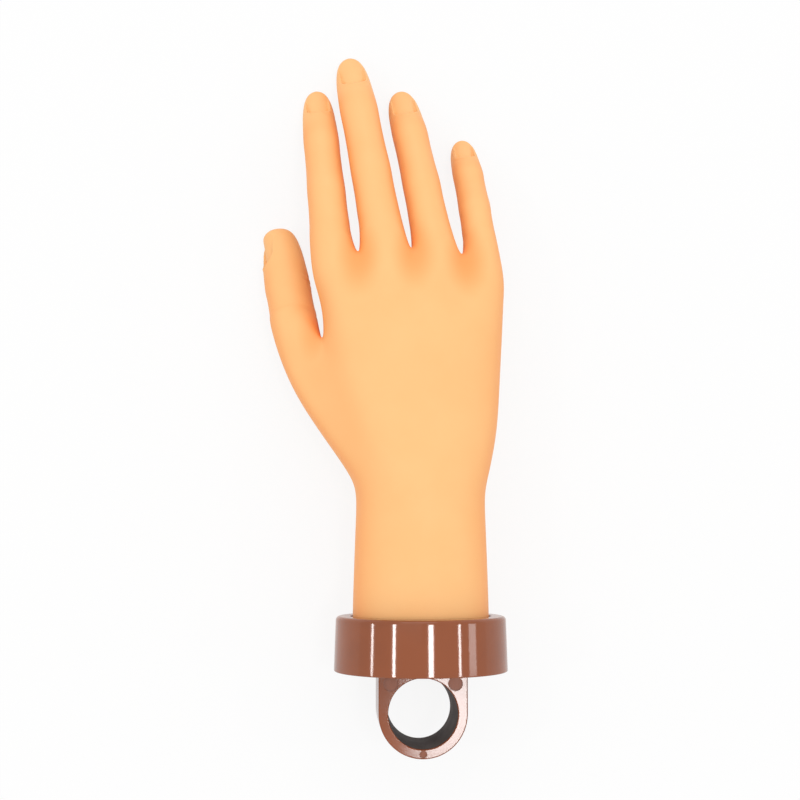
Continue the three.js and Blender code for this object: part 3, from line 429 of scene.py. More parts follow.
def knuckle_section():
    """The section at the knuckles, which follows the roots of the four fingers."""
    roots = []
    for name in KNUCKLED:
        section = CHAINS[name][0][0]
        centre = section["origin"] - section["along"] * KNUCKLE_SETBACK
        roots.append((centre, FINGERS[name]["widths"][0], FINGERS[name]["heights"][0]))
    first, first_width, _ = roots[0]
    last, last_width, _ = roots[-1]
    edge_y = first.y - EDGE_SETBACK
    columns = [(first.x - first_width * 0.86, edge_y, first.z + INDEX_EDGE[0], first.z + INDEX_EDGE[1])]
    for k, (centre, width, height) in enumerate(roots):
        if k:
            other, other_width, _ = roots[k - 1]
            x = (other.x + other_width + centre.x - width) / 2
            level = (other.z + centre.z) / 2
            columns.append((x, (other.y + centre.y) / 2, level + VALLEY[0], level + VALLEY[1]))
        columns.append((centre.x, centre.y, centre.z + height * 1.16, centre.z - height * 1.2))
    edge_y = last.y - EDGE_SETBACK
    columns.append((last.x + last_width * 0.9, edge_y, last.z + LITTLE_EDGE[0], last.z + LITTLE_EDGE[1]))
    return dict(
        columns=columns,
        thumb_side=Vector((first.x - first_width * 1.1, first.y - EDGE_SETBACK, first.z - 0.5)),
        little_side=Vector((last.x + last_width * 1.36, last.y - EDGE_SETBACK, last.z - 0.5)),
    )


def section_points(section):
    """The section as one loop: the back, the little finger's side, the palm and the thumb's side."""
    back = [Vector((x, y, top)) for x, y, top, _ in section["columns"]]
    palm = [Vector((x, y, bottom)) for x, y, _, bottom in section["columns"]]
    return back + [section["little_side"]] + palm[::-1] + [section["thumb_side"]]


def lower_sections(sizes, height):
    """The sections from the cup to the split."""
    width, thickness = sizes.wrist_half_width, sizes.wrist_half_thickness
    wrist = oval_section(PALM_STATIONS[0][0], width, thickness, height)
    sections = []
    for y, wider, thicker in WRIST_STATIONS:
        sections.append(oval_section(y, width + wider, thickness + thicker, height))
    for station in PALM_STATIONS:
        sections.append(palm_section(wrist, *station))
    return sections + [SPLIT]


def upper_sections():
    """The sections from the split, without the thumb, to the knuckles."""
    knuckles = knuckle_section()
    sections = []
    for t in UPPER_STATIONS:
        section = mix_sections(SPLIT, knuckles, t, 2)
        pad = PAD_DEPTH * math.sin(math.pi * min(1, t * 1.15))
        waist = THUMB_SIDE_WAIST * math.sin(math.pi * t)
        columns = [(x, y, top, bottom - pad) for x, y, top, bottom in section["columns"]]
        columns[0] = (columns[0][0] + waist, *columns[0][1:])
        section["columns"] = columns
        section["thumb_side"] = section["thumb_side"] + Vector((waist, 0, 0))
        sections.append(section)
    return sections


def build_palm(bm, sizes, height):
    """Wrist and palm as a tube of loops. Returns the open loop that each finger grows from."""
    lower = lower_sections(sizes, height)
    start = section_points(lower[0])
    loop = bmesh.ops.create_circle(bm, segments=len(start), radius=1)["verts"]
    for vert, point in zip(loop, start):
        vert.co = point
    for section in lower[1:]:
        loop, _ = extend(bm, loop, section_points(section))
    back, little_side, palm, thumb_side = loop[:11], loop[11], loop[22:11:-1], loop[23]
    web = bm.verts.new(THUMB_WEB)
    bm.edges.new((back[2], web))
    bm.edges.new((web, palm[2]))
    loops = {"thumb": [back[0], back[1], back[2], web, palm[2], palm[1], palm[0], thumb_side]}
    loop = back[2:] + [little_side] + palm[:1:-1] + [web]
    for section in upper_sections():
        loop, _ = extend(bm, loop, section_points(section))
    back, little_side, palm, thumb_side = loop[:9], loop[9], loop[18:9:-1], loop[19]
    sides = [thumb_side]
    for column in (2, 4, 6):
        middle = bm.verts.new((back[column].co + palm[column].co) / 2)
        bm.edges.new((back[column], middle))
        bm.edges.new((middle, palm[column]))
        sides.append(middle)
    sides.append(little_side)
    for k, name in enumerate(KNUCKLED):
        c = 2 * k
        loops[name] = back[c:c + 3] + [sides[k + 1], palm[c + 2], palm[c + 1], palm[c], sides[k]]
    return loops


def build_cage(sizes, height):
    """The hand as a coarse cage of extruded loops. Each face carries its piece's number."""
    bm = bmesh.new()
    pieces = ["palm"]
    for name, loop in build_palm(bm, sizes, height).items():
        first = len(pieces)
        pieces += [f"{name}_{label}" for label in LABELS[len(FINGERS[name]["lengths"])]]
        rings = finger_rings(name)
        places = fitted([vert.co.copy() for vert in loop], [ring for ring, _ in rings])
        number = first
        for ring, (_, section) in zip(places, rings):
            loop, faces = extend(bm, loop, ring)
            for face in faces:
                face.material_index = number
            number = first + section
        cap = bm.faces.new(loop)
        cap.material_index = number
    bmesh.ops.recalc_face_normals(bm, faces=bm.faces)
    return bm, pieces


# Fine shape of the skin, worked out for all points at once

def smooth_step(x, low, high):
    t = np.clip((x - low) / (high - low), 0, 1)
    return t * t * (3 - 2 * t)


def local(points, station):
    """Places across, along and out of a section's frame."""
    offset = points - np.array(station["origin"])
    return [offset @ np.array(station[axis]) for axis in ("across", "along", "out")]


def nail_distance(x, s, half_width, cuticle):
    """Distance inside the bed's outline, a rounded end and two straight sides."""
    stretch = 0.75
    centre = cuticle + half_width * stretch
    round_end = half_width - np.hypot(x, (s - centre) / stretch)
    straight = half_width - np.abs(x)
    return np.where(s < centre, round_end, straight)


def seat_change(name, x, s, z, sizes):
    """How far points on the back of a tip move out: down to the bed, into its slot, or up in its fold."""
    finger = FINGERS[name]
    length = finger["lengths"][-1]
    half_width, bed_length = finger["nail"]
    cuticle = length - bed_length
    inside = nail_distance(x, s, half_width, cuticle)
    radius = finger["widths"][-1] + 0.4
    scale = min(1, half_width / FINGERS["index"]["nail"][0])
    crown = finger["heights"][-1] - sizes.seat_depth * scale
    bed = crown - radius + np.sqrt(np.maximum(radius ** 2 - x ** 2, 0))
    into = smooth_step(inside, -0.15, 0.45)
    slot = smooth_step(inside, 0.0, 0.5) * (1 - smooth_step(inside, 0.7, 1.5))
    at_cuticle = 1 - smooth_step(s, cuticle + 2, cuticle + 6)
    fold = np.exp(-((inside + 0.75) / 0.6) ** 2) * (1 - smooth_step(s, length - 5, length))
    sunk = (np.minimum(z, bed) - z) * into
    return sunk - sizes.slot_depth * scale * slot * at_cuticle + sizes.fold_height * fold


def crease_depths(finger, k, x, s, z, sizes):
    """How deep each point lies in the creases under a hinge: two at the middle joint, one elsewhere."""
    reach = finger["heights"][k]
    under = (np.abs(s) < 6) & (z < 0) & (np.abs(x) < finger["widths"][k] * 1.3) & (z > -2 * reach)
    lines = np.zeros(len(s))
    for at in ((-1.3, 1.3) if k == 1 else (0.0,)):
        lines += np.exp(-((s - at - 0.02 * x ** 2) / 0.55) ** 2)
    strength = smooth_step(-z, 0.2 * reach, 0.8 * reach) * (0.5 if k == 0 else 1)
    return np.where(under, lines * strength * sizes.crease_depth, 0)


def web_points():
    """Where the fingers part from one another."""
    columns = knuckle_section()["columns"]
    points = []
    for x, y, top, bottom in (columns[2], columns[4], columns[6]):
        points.append(Vector((x, y, (top + bottom) / 2)))
    return points + [THUMB_WEB + Vector((0, 4, 0))]


def shade_to_paint(points, normals, painted_tip_light):
    """How much shade is painted on the skin, from 0 to 1: painted shade at its sides, where light falls
    off, and in the webs between the fingers, and little on the tips, where painted light keeps them pale.
    """
    sides = 1 - np.abs(normals[:, 2])
    # Painted shade at the sides, growing as the skin turns away from the top
    painted_shade = 0.72 * smooth_step(sides, 0.0, 0.65)
    # Painted shade in the webs between the fingers
    for web in web_points():
        reach = np.linalg.norm((points - np.array(web)) / WEB_SHADE_REACH, axis=1)
        painted_shade = np.maximum(painted_shade, 1 - smooth_step(reach, 0.35, 1.35))
    return painted_shade * (1 - 0.75 * painted_tip_light)


def sculpt(points, normals, numbers, pieces, sizes):
    """Sinks nail seats and creases into the skin. Returns its new points and how much shade is painted on
    each one.
    """
    moved = points.copy()
    painted_tip_light = np.zeros(len(points))
    for name, finger in FINGERS.items():
        sections, hinges = CHAINS[name]
        tip = sections[-1]
        own = numbers == pieces.index(f"{name}_tip")
        x, s, z = local(points, tip)
        change = np.where(own & (z > 0), seat_change(name, x, s, z, sizes), 0)
        moved += change[:, None] * np.array(tip["out"])
        # Painted light on the tips: less shade is painted towards each tip's end, so the tips stay pale
        painted_tip_light = np.maximum(painted_tip_light, np.where(own, smooth_step(s, 0, 0.5 * tip["length"]), 0))
        for k, hinge in enumerate(hinges):
            depths = crease_depths(finger, k, *local(points, hinge), sizes)
            moved -= depths[:, None] * normals
    return moved, shade_to_paint(points, normals, painted_tip_light)


# The skin and its pieces

def read(collection, field, kind, width=1):
    """All values of a field as an array, with a row for each item where it has several numbers."""
    values = np.empty(len(collection) * width, kind)
    collection.foreach_get(field, values)
    return values.reshape(-1, width) if width > 1 else values


def write(mesh, name, kind, domain, values):
    """Adds an attribute to a mesh."""
    attribute = mesh.attributes.new(name, kind, domain)
    attribute.data.foreach_set("vector" if kind == "FLOAT_VECTOR" else "value", values.ravel())


def smooth_skin(bm, pieces, material, rounds):
    """The cage as a smooth mesh, with a material slot for each piece."""
    skin = new_object("skin", bm)
    for _ in pieces:
        skin.data.materials.append(material)
    modifier = skin.modifiers.new("smooth", "SUBSURF")
    modifier.levels = modifier.render_levels = rounds
    apply_modifiers(skin)
    return skin


def part_skin(skin):
    """Splits the skin by material slot and returns its parts."""
    before = set(bpy.data.objects)
    bpy.context.view_layer.objects.active = skin
    skin.select_set(True)
    bpy.ops.object.mode_set(mode="EDIT")
    bpy.ops.mesh.select_all(action="SELECT")
    bpy.ops.mesh.separate(type="MATERIAL")
    bpy.ops.object.mode_set(mode="OBJECT")
    return {skin} | (set(bpy.data.objects) - before)


def piece_number(part):
    return part.data.attributes["piece"].data[0].value


def build_skin(material):
    """Builds the whole skin, splits it where the sections part, and finishes each piece; only the palm is
    hung on a body.
    """
    sizes = bpy.context.scene.practice_hand
    bm, pieces = build_cage(sizes, bpy.context.scene.practice_base.back_radius)
    skin = smooth_skin(bm, pieces, material, sizes.smoothness)
    mesh = skin.data
    points = read(mesh.vertices, "co", float, 3)
    normals = read(mesh.vertex_normals, "vector", np.float32, 3)
    of_corner = read(mesh.loops, "vertex_index", np.int32)
    of_face = read(mesh.polygons, "material_index", np.int32)
    numbers = np.zeros(len(points), int)
    numbers[of_corner] = np.repeat(of_face, read(mesh.polygons, "loop_total", np.int32))
    moved, painted_shade = sculpt(points, normals, numbers, pieces, sizes)
    mesh.vertices.foreach_set("co", moved.ravel())
    mesh.update()
    write(mesh, "even_normal", "FLOAT_VECTOR", "POINT", read(mesh.vertex_normals, "vector", np.float32, 3))
    # Painted shade at the sides and in the webs, kept for the skin's material
    write(mesh, "painted_shade", "FLOAT", "POINT", painted_shade.astype(np.float32))
    write(mesh, "piece", "INT", "FACE", of_face)
    for part in sorted(part_skin(skin), key=piece_number):
        number = piece_number(part)
        part.data.attributes.remove(part.data.attributes["piece"])
        finish_skin(part, pieces[number], material)


def rings_of(verts):
    """Sorts vertices into the rings that their edges form."""
    left = set(verts)
    rings = []
    while left:
        ring = set()
        stack = [left.pop()]
        while stack:
            vert = stack.pop()
            ring.add(vert)
            for edge in vert.link_edges:
                other = edge.other_vert(vert)
                if other in left:
                    left.discard(other)
                    stack.append(other)
        rings.append(ring)
    return rings


def close_ends(bm, outwards):
    """Closes each open end with a funnel into the piece or into its neighbour, so that no seam shows."""
    middle = sum((vert.co for vert in bm.verts), Vector()) / len(bm.verts)
    open_edges = [edge for edge in bm.edges if edge.is_boundary]
    made = bmesh.ops.extrude_edge_only(bm, edges=open_edges)["geom"]
    rim = [item for item in made if isinstance(item, bmesh.types.BMVert)]
    rim_edges = [item for item in made if isinstance(item, bmesh.types.BMEdge) and item.is_boundary]
    for ring in rings_of(rim):
        centre = sum((vert.co for vert in ring), Vector()) / len(ring)
        way = (centre - middle if outwards else middle - centre).normalized()
        for vert in ring:
            offset = vert.co - centre
            across = offset - way * offset.dot(way)
            vert.co += way * FUNNEL_DEPTH - across * FUNNEL_NARROWING
    bmesh.ops.holes_fill(bm, edges=rim_edges, sides=0)


def finish_skin(obj, name, material):
    """Closes a piece of the skin, keeps its shading even, and hangs the palm on the root body; hides the
    frame's skin part that it replaces.
    """
    obj.name = obj.data.name = f"skin_{name}"
    bm = bmesh.new()
    bm.from_mesh(obj.data)
    close_ends(bm, outwards=name.endswith("proximal"))
    for face in bm.faces:
        face.smooth = True
        face.material_index = 0
    bm.to_mesh(obj.data)
    bm.free()
    set_in_row(obj, material)
    mesh = obj.data
    normals = read(mesh.attributes["even_normal"].data, "vector", np.float32, 3)
    mesh.normals_split_custom_set_from_vertices(normals)
    mesh.attributes.remove(mesh.attributes["even_normal"])
    if name == "palm":
        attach(obj, "root")
        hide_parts("palm_skin")
        return
    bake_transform(obj)
    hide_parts(f"{name}_skin")


# Base

def cup_slope(b):
    """How much the cup's radius changes along each millimetre of its length."""
    return (b.front_radius - b.back_radius) / b.length


def cup_stations(b, hand):
    """The cup's outline from collar to mouth, face, rims and wall: y, radius across and up, rounding."""
    mouth = (
        hand.wrist_half_width + WRIST_FLARE[0] + b.fit_gap,
        hand.wrist_half_thickness + WRIST_FLARE[1] + b.fit_gap,
    )
    collar = (mouth[0] + b.collar_wall, mouth[1] + b.collar_wall)
    collar_end = b.recess + b.cover + b.fit_gap + PLUG_FLANGE + b.fit_gap
    inside = b.length - b.face
    inner = b.back_radius + cup_slope(b) * inside - b.wall
    back_inner = b.back_radius - b.wall
    return [
        (collar_end, *mouth, 0),
        (b.length, *mouth, 0.45),
        (b.length, b.front_radius, b.front_radius, b.front_round),
        (0, b.back_radius, b.back_radius, b.back_round),
        (0, back_inner, back_inner, 0.3),
        (inside, inner, inner, 0),
        (inside, *collar, 0),
        (collar_end, *collar, 0),
    ]


def build_cup(material):
    """The cup: one loop drawn through all the stations of its outline, and closed on itself."""
    b = bpy.context.scene.practice_base
    bm = bmesh.new()
    circle = bmesh.ops.create_circle(bm, segments=144, radius=1)["verts"]
    unit = [vert.co.copy() for vert in circle]

    def ring(y, across, up):
        return [Vector((u.x * across, BASE_START + y, b.back_radius + u.y * up)) for u in unit]

    stations = cup_stations(b, bpy.context.scene.practice_hand)
    for vert, point in zip(circle, ring(*stations[0][:3])):
        vert.co = point
    loops = [circle]
    for station in stations[1:]:
        loop, _ = extend(bm, loops[-1], ring(*station[:3]))
        loops.append(loop)
    bmesh.ops.bridge_loops(bm, edges=close_ring(loops[-1]) + close_ring(loops[0]))
    bmesh.ops.recalc_face_normals(bm, faces=bm.faces)
    for loop, (_, _, _, rounding) in zip(loops, stations):
        if rounding:
            bmesh.ops.bevel(bm, geom=close_ring(loop), offset=rounding, offset_type="OFFSET", profile=0.5,
                            segments=8 if rounding > 1 else 4, affect="EDGES", material=-1)
    cup = new_object("cup_shell", bm)
    shade(cup, 35)
    set_in_row(cup, material)
    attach(cup, "root")
    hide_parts("base_cup")


def lug_reach(direction, radius, top):
    """How far a ray from the bore's middle goes to the U outline of the eye."""
    x, y = direction
    if y <= 0:
        return radius
    sideways = radius / abs(x) if abs(x) > 1e-6 else math.inf
    return min(sideways, top / y)


def lug_directions(circle, corner):
    """Directions of a circle's vertices, with the nearest two turned to the corners of the U."""
    directions = [Vector((vert.co.x, vert.co.y)).normalized() for vert in circle]
    for side in (-1, 1):
        wanted = Vector((side * corner.x, corner.y))
        nearest = max(range(len(directions)), key=lambda i: directions[i].dot(wanted))
        directions[nearest] = wanted
    return directions


def build_lug(b, bore_y):
    """The eye: a ring of faces between bore and U outline, pulled down through its depth."""
    outer = b.eye_width / 2
    upper = b.back_radius + b.eye_depth / 2
    top = BASE_START + b.recess + 1 - bore_y
    bm = bmesh.new()
    circle = bmesh.ops.create_circle(bm, segments=128, radius=b.bore_radius)["verts"]
    outline = []
    for d in lug_directions(circle, Vector((outer, top)).normalized()):
        reach = lug_reach(d, outer, top)
        outline.append(Vector((d.x * reach, bore_y + d.y * reach, upper)))
    bmesh.ops.translate(bm, vec=(0, bore_y, upper), verts=circle)
    extend(bm, circle, outline)
    made = bmesh.ops.extrude_face_region(bm, geom=list(bm.faces))["geom"]
    lower = [item for item in made if isinstance(item, bmesh.types.BMVert)]
    bmesh.ops.translate(bm, vec=(0, 0, -b.eye_depth), verts=lower)
    centre = Vector((0, bore_y))
    narrow = [vert for vert in lower if (vert.co.xy - centre).length < b.bore_radius + 0.1]
    shrink = 1 - b.bore_draft / b.bore_radius
    bmesh.ops.scale(bm, vec=(shrink, shrink, 1), space=Matrix.Translation((0, -bore_y, 0)), verts=narrow)
    bmesh.ops.recalc_face_normals(bm, faces=bm.faces)
    edges = []
    for edge in bm.edges:
        level = abs(edge.verts[0].co.z - edge.verts[1].co.z) < 1e-6
        if level and len({abs(face.normal.z) > 0.9 for face in edge.link_faces}) == 2:
            edges.append(edge)
    bmesh.ops.bevel(bm, geom=edges, offset=EYE_EDGE_ROUND, offset_type="OFFSET", segments=4, profile=0.5,
                    affect="EDGES", material=-1)
    return new_object("eye_lug", bm)


def eye_finishes(mesh, b, bore_y):
    """The finish of each face: 1 in the bore, which carries painted shade, 2 in the marks on top, 0
    elsewhere.
    """
    centre = Vector((0, bore_y))
    mark_level = b.back_radius + b.eye_depth / 2 - b.mark_depth
    finishes = []
    for face in mesh.polygons:
        in_bore = (face.center.xy - centre).length < b.bore_radius + 0.1 and abs(face.normal.z) < 0.3
        in_mark = abs(face.center.z - mark_level) < 0.01 and face.normal.z > 0.9
        finishes.append(1 if in_bore else 2 if in_mark else 0)
    return finishes


def build_eye(material, bore_shade_finish, mark_finish):
    """The eye on its cover plate, with the ejector marks and the screws' holes."""
    b = bpy.context.scene.practice_base
    height = b.back_radius
    half = b.eye_depth / 2
    outer = b.eye_width / 2
    bore_y = BASE_START - b.eye_reach + outer
    eye = build_lug(b, bore_y)
    front = b.recess + b.cover
    inner = b.back_radius - b.wall + cup_slope(b) * front - b.fit_gap
    cut_with(eye, rod(inner, b.recess, front, "Y", (0, BASE_START, height), 144), "UNION")
    marks = [(side * SIDE_MARK["x"], SIDE_MARK["y"], SIDE_MARK["radius"]) for side in (-1, 1)]
    marks.append((0, bore_y - (outer + b.bore_radius) / 2, END_MARK_RADIUS))
    for x, y, radius in marks:
        cut_with(eye, rod(radius, half - b.mark_depth, half + 2, "Z", (x, y, height), 48))
    for angle in (45, 135, 225, 315):
        turn = math.radians(angle)
        centre = (SCREW_CIRCLE * math.cos(turn), BASE_START, height + SCREW_CIRCLE * math.sin(turn))
        cut_with(eye, rod(SCREW_HOLE, -1, front + 1, "Y", centre, 32))
    shade(eye, 30)
    finishes = eye_finishes(eye.data, b, bore_y)
    set_in_row(eye, material)
    # The bore's finish, with painted shade and a painted grey reflection
    eye.data.materials.append(bore_shade_finish)
    eye.data.materials.append(mark_finish)
    eye.data.polygons.foreach_set("material_index", finishes)
    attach(eye, "root")
    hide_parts("eye_cover")


# Finishes

def group_socket(tree, name, way="INPUT", value=None):
    """A number that goes into or comes out of a node group."""
    socket = tree.interface.new_socket(name=name, in_out=way, socket_type="NodeSocketFloat")
    if value is not None:
        socket.default_value = value


def grain_group():
    """Fine moulded grain as a height, and a soft mottling from 0 to 1."""
    name = "moulded_grain"
    if name in bpy.data.node_groups:
        return bpy.data.node_groups[name]
    tree = bpy.data.node_groups.new(name, "ShaderNodeTree")
    group_socket(tree, "Grain size", value=2500)
    group_socket(tree, "Mottle size", value=60)
    group_socket(tree, "Height", "OUTPUT")
    group_socket(tree, "Mottle", "OUTPUT")
    nodes, links = tree.nodes, tree.links
    entry = nodes.new("NodeGroupInput")
    leave = nodes.new("NodeGroupOutput")
    coordinates = nodes.new("ShaderNodeTexCoord")
    for size_name, result, detail in (("Grain size", "Height", 2), ("Mottle size", "Mottle", 3)):
        noise = nodes.new("ShaderNodeTexNoise")
        noise.inputs["Detail"].default_value = detail
        links.new(coordinates.outputs["Object"], noise.inputs["Vector"])
        links.new(entry.outputs[size_name], noise.inputs["Scale"])
        links.new(noise.outputs["Fac"], leave.inputs[result])
    return tree


def new_material(name):
    material = bpy.data.materials.new(name)
    material.use_nodes = True
    shader = material.node_tree.nodes["Principled BSDF"]
    return material, material.node_tree.nodes, material.node_tree.links, shader


def mixed(nodes, links, factor, a, b):
    """A colour mix. The factor and the first colour may be outputs of other nodes."""
    node = nodes.new("ShaderNodeMix")
    node.data_type = "RGBA"
    links.new(factor, node.inputs[0])
    if isinstance(a, bpy.types.NodeSocket):
        links.new(a, node.inputs[6])
    else:
        node.inputs[6].default_value = (*a, 1)
    node.inputs[7].default_value = (*b, 1)
    return node.outputs[2]


def ramp(nodes, links, source, low, high, start=0.0, end=1.0):
    """Maps low to start and high to end."""
    node = nodes.new("ShaderNodeMapRange")
    links.new(source, node.inputs["Value"])
    node.inputs["From Min"].default_value = low
    node.inputs["From Max"].default_value = high
    node.inputs["To Min"].default_value = start
    node.inputs["To Max"].default_value = end
    return node.outputs["Result"]


def grain(nodes, links, shader, grain_size, mottle_size, strength, distance):
    """Places the grain in a material, as a bump, and returns the mottling."""
    group = nodes.new("ShaderNodeGroup")
    group.node_tree = grain_group()
    group.inputs["Grain size"].default_value = grain_size
    group.inputs["Mottle size"].default_value = mottle_size
    bump = nodes.new("ShaderNodeBump")
    bump.inputs["Strength"].default_value = strength
    bump.inputs["Distance"].default_value = distance
    links.new(group.outputs["Height"], bump.inputs["Height"])
    links.new(bump.outputs["Normal"], shader.inputs["Normal"])
    return group.outputs["Mottle"]


def skin_material():
    colours = bpy.context.scene.practice_colours
    material, nodes, links, shader = new_material("soft_skin")
    mottle = grain(nodes, links, shader, 1400, 55, 0.25, 0.00012)
    # The skin's colour is mixed towards the shaded skin colour by the painted shade at the sides and in the
    # webs
    painted_shade = nodes.new("ShaderNodeAttribute")
    painted_shade.attribute_name = "painted_shade"
    shaded_skin = mixed(nodes, links, painted_shade.outputs["Fac"], colours.skin, colours.shaded_skin)
    mottled = mixed(nodes, links, ramp(nodes, links, mottle, 0.35, 0.65, 0, 0.10), shaded_skin, colours.shaded_skin)
    links.new(mottled, shader.inputs["Base Color"])
    links.new(ramp(nodes, links, mottle, 0.3, 0.7, 0.46, 0.56), shader.inputs["Roughness"])
    shader.inputs["Specular IOR Level"].default_value = 0.32
    return material


def moulded(name, tone, dark, grain_values, roughness):
    """A moulded plastic: its tone mottled with a darker one, its grain and its range of roughness."""
    material, nodes, links, shader = new_material(name)
    mottle = grain(nodes, links, shader, *grain_values)
    darker = tuple(dark * channel for channel in tone)
    mix = mixed(nodes, links, ramp(nodes, links, mottle, 0.4, 0.6), tone, darker)
    links.new(mix, shader.inputs["Base Color"])
    links.new(ramp(nodes, links, mottle, 0.3, 0.7, *roughness), shader.inputs["Roughness"])
    return material, shader


def base_material():
    tone = bpy.context.scene.practice_colours.base
    material, shader = moulded("glossy_brown_plastic", tone, 0.88, (2600, 40, 0.06, 0.00004), (0.06, 0.10))
    shader.inputs["IOR"].default_value = 1.5
    return material


def mark_material():
    """The base's brown, dull where the ejector pins pressed."""
    tone = bpy.context.scene.practice_colours.base
    return moulded("dull_brown_plastic", tone, 0.8, (2600, 90, 0.3, 0.0002), (0.32, 0.42))[0]


def bore_shade_material():
    # Painted shade and painted grey reflection: the bore is darker and greyer than the base's brown, with a
    # dull roughness
    tone = bpy.context.scene.practice_colours.bore
    material, shader = moulded("shaded_bore_plastic", tone, 0.85, (1200, 90, 0.3, 0.0002), (0.55, 0.68))
    shader.inputs["Specular IOR Level"].default_value = 0.25
    return material


def frame_material():
    tone = bpy.context.scene.practice_colours.frame
    return moulded("moulded_frame", tone, 0.9, (1800, 120, 0.2, 0.0001), (0.42, 0.55))[0]


def steel_material():
    tone = bpy.context.scene.practice_colours.steel
    material, nodes, links, shader = new_material("bright_steel")
    mottle = grain(nodes, links, shader, 4000, 300, 0.15, 0.00005)
    darker = tuple(0.8 * channel for channel in tone)
    links.new(mixed(nodes, links, mottle, tone, darker), shader.inputs["Base Color"])
    links.new(ramp(nodes, links, mottle, 0.3, 0.7, 0.25, 0.4), shader.inputs["Roughness"])
    shader.inputs["Metallic"].default_value = 1.0
    return material


# Stage

CAMERA = dict(place=(-39.8, 55.8, 638.5), lean=3.0, tilt=4.8, lens=69.3)
# Strip lamps over the base, each with its angle from upright, width and power
STRIPS = (
    ("strip_far_left", -69.9, 0.065, 0.42),
    ("strip_left", -38.5, 0.078, 0.7),
    ("strip_main", 9.5, 0.13, 1.2),
    ("strip_right", 48.2, 0.065, 0.45),
    ("strip_far_right", 67.6, 0.24, 0.35),
)
STRIP_DISTANCE = 1200
STRIP_LENGTH = 0.10
# Share of the background seen in a gloss, the floor's own light in it, and the soft light's strength
GLOSS_SHARE = 0.4
FLOOR_GLOW = 0.85
SOFT_LIGHT = 0.77


def arithmetic(nodes, links, operation, a, b):
    """Works out a value from an output and another output or a number."""
    node = nodes.new("ShaderNodeMath")
    node.operation = operation
    links.new(a, node.inputs[0])
    if isinstance(b, bpy.types.NodeSocket):
        links.new(b, node.inputs[1])
    else:
        node.inputs[1].default_value = b
    return node.outputs[0]


def background_rays(nodes, links):
    """1 for the rays that show the background: seen directly, through glass, or in part in a gloss."""
    path = nodes.new("ShaderNodeLightPath")
    gloss = arithmetic(nodes, links, "MULTIPLY", path.outputs["Is Glossy Ray"], GLOSS_SHARE)
    seen = path.outputs["Is Camera Ray"]
    for other in (path.outputs["Is Transmission Ray"], gloss):
        seen = arithmetic(nodes, links, "MAXIMUM", seen, other)
    return seen


def mix_shaders(nodes, links, share, a, b, leave):
    """Sends a mix of two shaders to an input."""
    blend = nodes.new("ShaderNodeMixShader")
    links.new(share, blend.inputs[0])
    links.new(a.outputs[0], blend.inputs[1])
    links.new(b.outputs[0], blend.inputs[2])
    links.new(blend.outputs[0], leave)


def floor_material():
    material, nodes, links, shader = new_material("pale_floor")
    shader.inputs["Base Color"].default_value = (0.9, 0.9, 0.9, 1)
    shader.inputs["Roughness"].default_value = 0.8
    shader.inputs["Specular IOR Level"].default_value = 0.0
    light = nodes.new("ShaderNodeEmission")
    light.inputs["Strength"].default_value = 1.0
    share = arithmetic(nodes, links, "MULTIPLY", background_rays(nodes, links), FLOOR_GLOW)
    mix_shaders(nodes, links, share, shader, light, nodes["Material Output"].inputs["Surface"])
    return material


def build_floor():
    bm = bmesh.new()
    bmesh.ops.create_grid(bm, x_segments=1, y_segments=1, size=4)
    floor = new_object("floor", bm)
    floor.data.materials.append(floor_material())


def build_world():
    world = bpy.data.worlds.new("studio")
    world.use_nodes = True
    nodes, links = world.node_tree.nodes, world.node_tree.links
    soft = nodes["Background"]
    soft.inputs["Color"].default_value = (1, 1, 1, 1)
    soft.inputs["Strength"].default_value = SOFT_LIGHT
    white = nodes.new("ShaderNodeBackground")
    white.inputs["Strength"].default_value = 1.0
    leave = nodes["World Output"].inputs["Surface"]
    mix_shaders(nodes, links, background_rays(nodes, links), soft, white, leave)
    bpy.context.scene.world = world


def look_matrix(place, across, back):
    """A matrix in the row's frame that looks against back, with across to its right."""
    basis = Matrix((across, back.cross(across), back)).transposed().to_4x4()
    return Matrix.Translation(place) @ basis


def add_lamp(name, place, target, width, length, power):
    """A rectangular lamp that faces its target, with its long side along the hand."""
    data = bpy.data.lights.new(name, "AREA")
    data.shape = "RECTANGLE"
    data.size, data.size_y = width, length
    data.energy = power
    lamp = bpy.data.objects.new(name, data)
    bpy.context.scene.collection.objects.link(lamp)
    position = TO_ROW @ Vector(place)
    back = (position - TO_ROW @ Vector(target)).normalized()
    across = Vector((0, 1, 0)).cross(back).normalized()
    lamp.matrix_world = look_matrix(position, across, back)


def build_lights():
    height = bpy.context.scene.practice_base.back_radius
    base = (0, 0, height)
    for name, angle, width, power in STRIPS:
        turn = math.radians(angle)
        place = (STRIP_DISTANCE * math.sin(turn), 0, height + STRIP_DISTANCE * math.cos(turn))
        add_lamp(name, place, base, width, STRIP_LENGTH, power)
    add_lamp("window", (122, -160, 1250), base, 0.10, 0.12, 0.75)
    add_lamp("soft_top", (-500, 500, 1400), (-10, 110, 30), 1.0, 1.0, 1.0)
    add_lamp("soft_front", (-100, 1350, 800), (-10, 240, 20), 1.0, 1.0, 3.2)


def build_camera():
    data = bpy.data.cameras.new("camera")
    data.lens = CAMERA["lens"]
    data.sensor_width = 36
    lean, tilt = math.radians(CAMERA["lean"]), math.radians(CAMERA["tilt"])
    back = Vector((-math.sin(lean) * math.cos(tilt), -math.sin(tilt), math.cos(lean) * math.cos(tilt)))
    across = Vector((math.cos(lean), 0, math.sin(lean)))
    camera = bpy.data.objects.new("camera", data)
    camera.matrix_world = look_matrix(TO_ROW @ Vector(CAMERA["place"]), across, back)
    bpy.context.scene.collection.objects.link(camera)
    bpy.context.scene.camera = camera


# Operators

class HAND_OT_stage(bpy.types.Operator):
    """Set up the floor, the light and the camera"""
    bl_idname = "practice_hand.stage"
    bl_label = "Stage"

    def execute(self, context):
        context.scene.view_settings.view_transform = "Standard"
        build_camera()
        build_floor()
        build_world()
        build_lights()
        return {"FINISHED"}


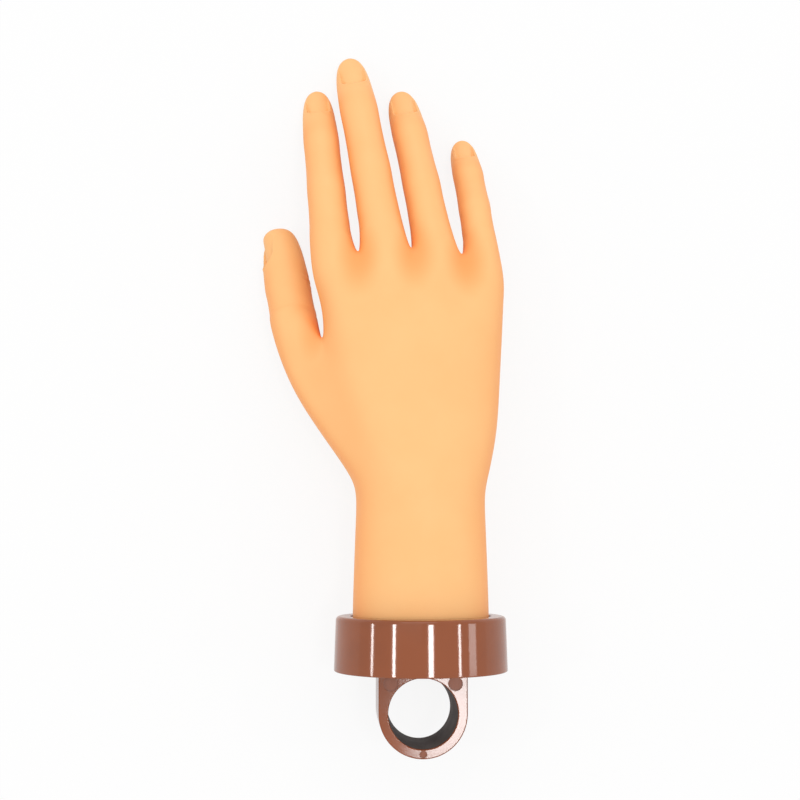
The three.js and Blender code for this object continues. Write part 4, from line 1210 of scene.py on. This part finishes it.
class HAND_OT_skin(bpy.types.Operator):
    """Build the soft skin of the hand, in one piece for each section of the palm and fingers"""
    bl_idname = "practice_hand.skin"
    bl_label = "Skin"

    def execute(self, context):
        build_skin(skin_material())
        return {"FINISHED"}


class HAND_OT_base(bpy.types.Operator):
    """Build the cup and the cover with its clamp eye"""
    bl_idname = "practice_hand.base"
    bl_label = "Base"

    def execute(self, context):
        material = base_material()
        build_cup(material)
        build_eye(material, bore_shade_material(), mark_material())
        return {"FINISHED"}


class HAND_OT_frame(bpy.types.Operator):
    """Finish the inner frame, the wrist plug, the pins and the screws"""
    bl_idname = "practice_hand.frame"
    bl_label = "Frame, pins and screws"

    def execute(self, context):
        plastic, steel = frame_material(), steel_material()
        for name, node in frame["nodes"].items():
            if name.endswith("_pin") or "screw" in name:
                finish = steel
            elif name.endswith("_link") or name in ("palm_frame", "wrist_plug"):
                finish = plastic
            else:
                continue
            node.data.materials.clear()
            node.data.materials.append(finish)
        return {"FINISHED"}


class HAND_PT_pieces(bpy.types.Panel):
    """The pieces of the practice hand"""
    bl_idname = "HAND_PT_pieces"
    bl_label = "Practice hand"
    bl_space_type = "VIEW_3D"
    bl_region_type = "UI"
    bl_category = "Practice hand"

    def draw(self, context):
        column = self.layout.column()
        for operator in OPERATORS:
            column.operator(operator.bl_idname)
        for group in GROUPS:
            settings = getattr(context.scene, group)
            for name in settings.__annotations__:
                column.prop(settings, name)


GROUPS = {"practice_hand": HandSizes, "practice_base": BaseSizes, "practice_colours": Colours}
OPERATORS = (HAND_OT_stage, HAND_OT_skin, HAND_OT_base, HAND_OT_frame)
CLASSES = (*GROUPS.values(), *OPERATORS, HAND_PT_pieces)


def register():
    for item in CLASSES:
        bpy.utils.register_class(item)
    for name, group in GROUPS.items():
        setattr(bpy.types.Scene, name, bpy.props.PointerProperty(type=group))


def unregister():
    for name in GROUPS:
        delattr(bpy.types.Scene, name)
    for item in reversed(CLASSES):
        bpy.utils.unregister_class(item)


def main():
    register()
    bpy.ops.practice_hand.stage()
    bpy.ops.practice_hand.skin()
    bpy.ops.practice_hand.base()
    bpy.ops.practice_hand.frame()


if __name__ == "__main__":
    main()
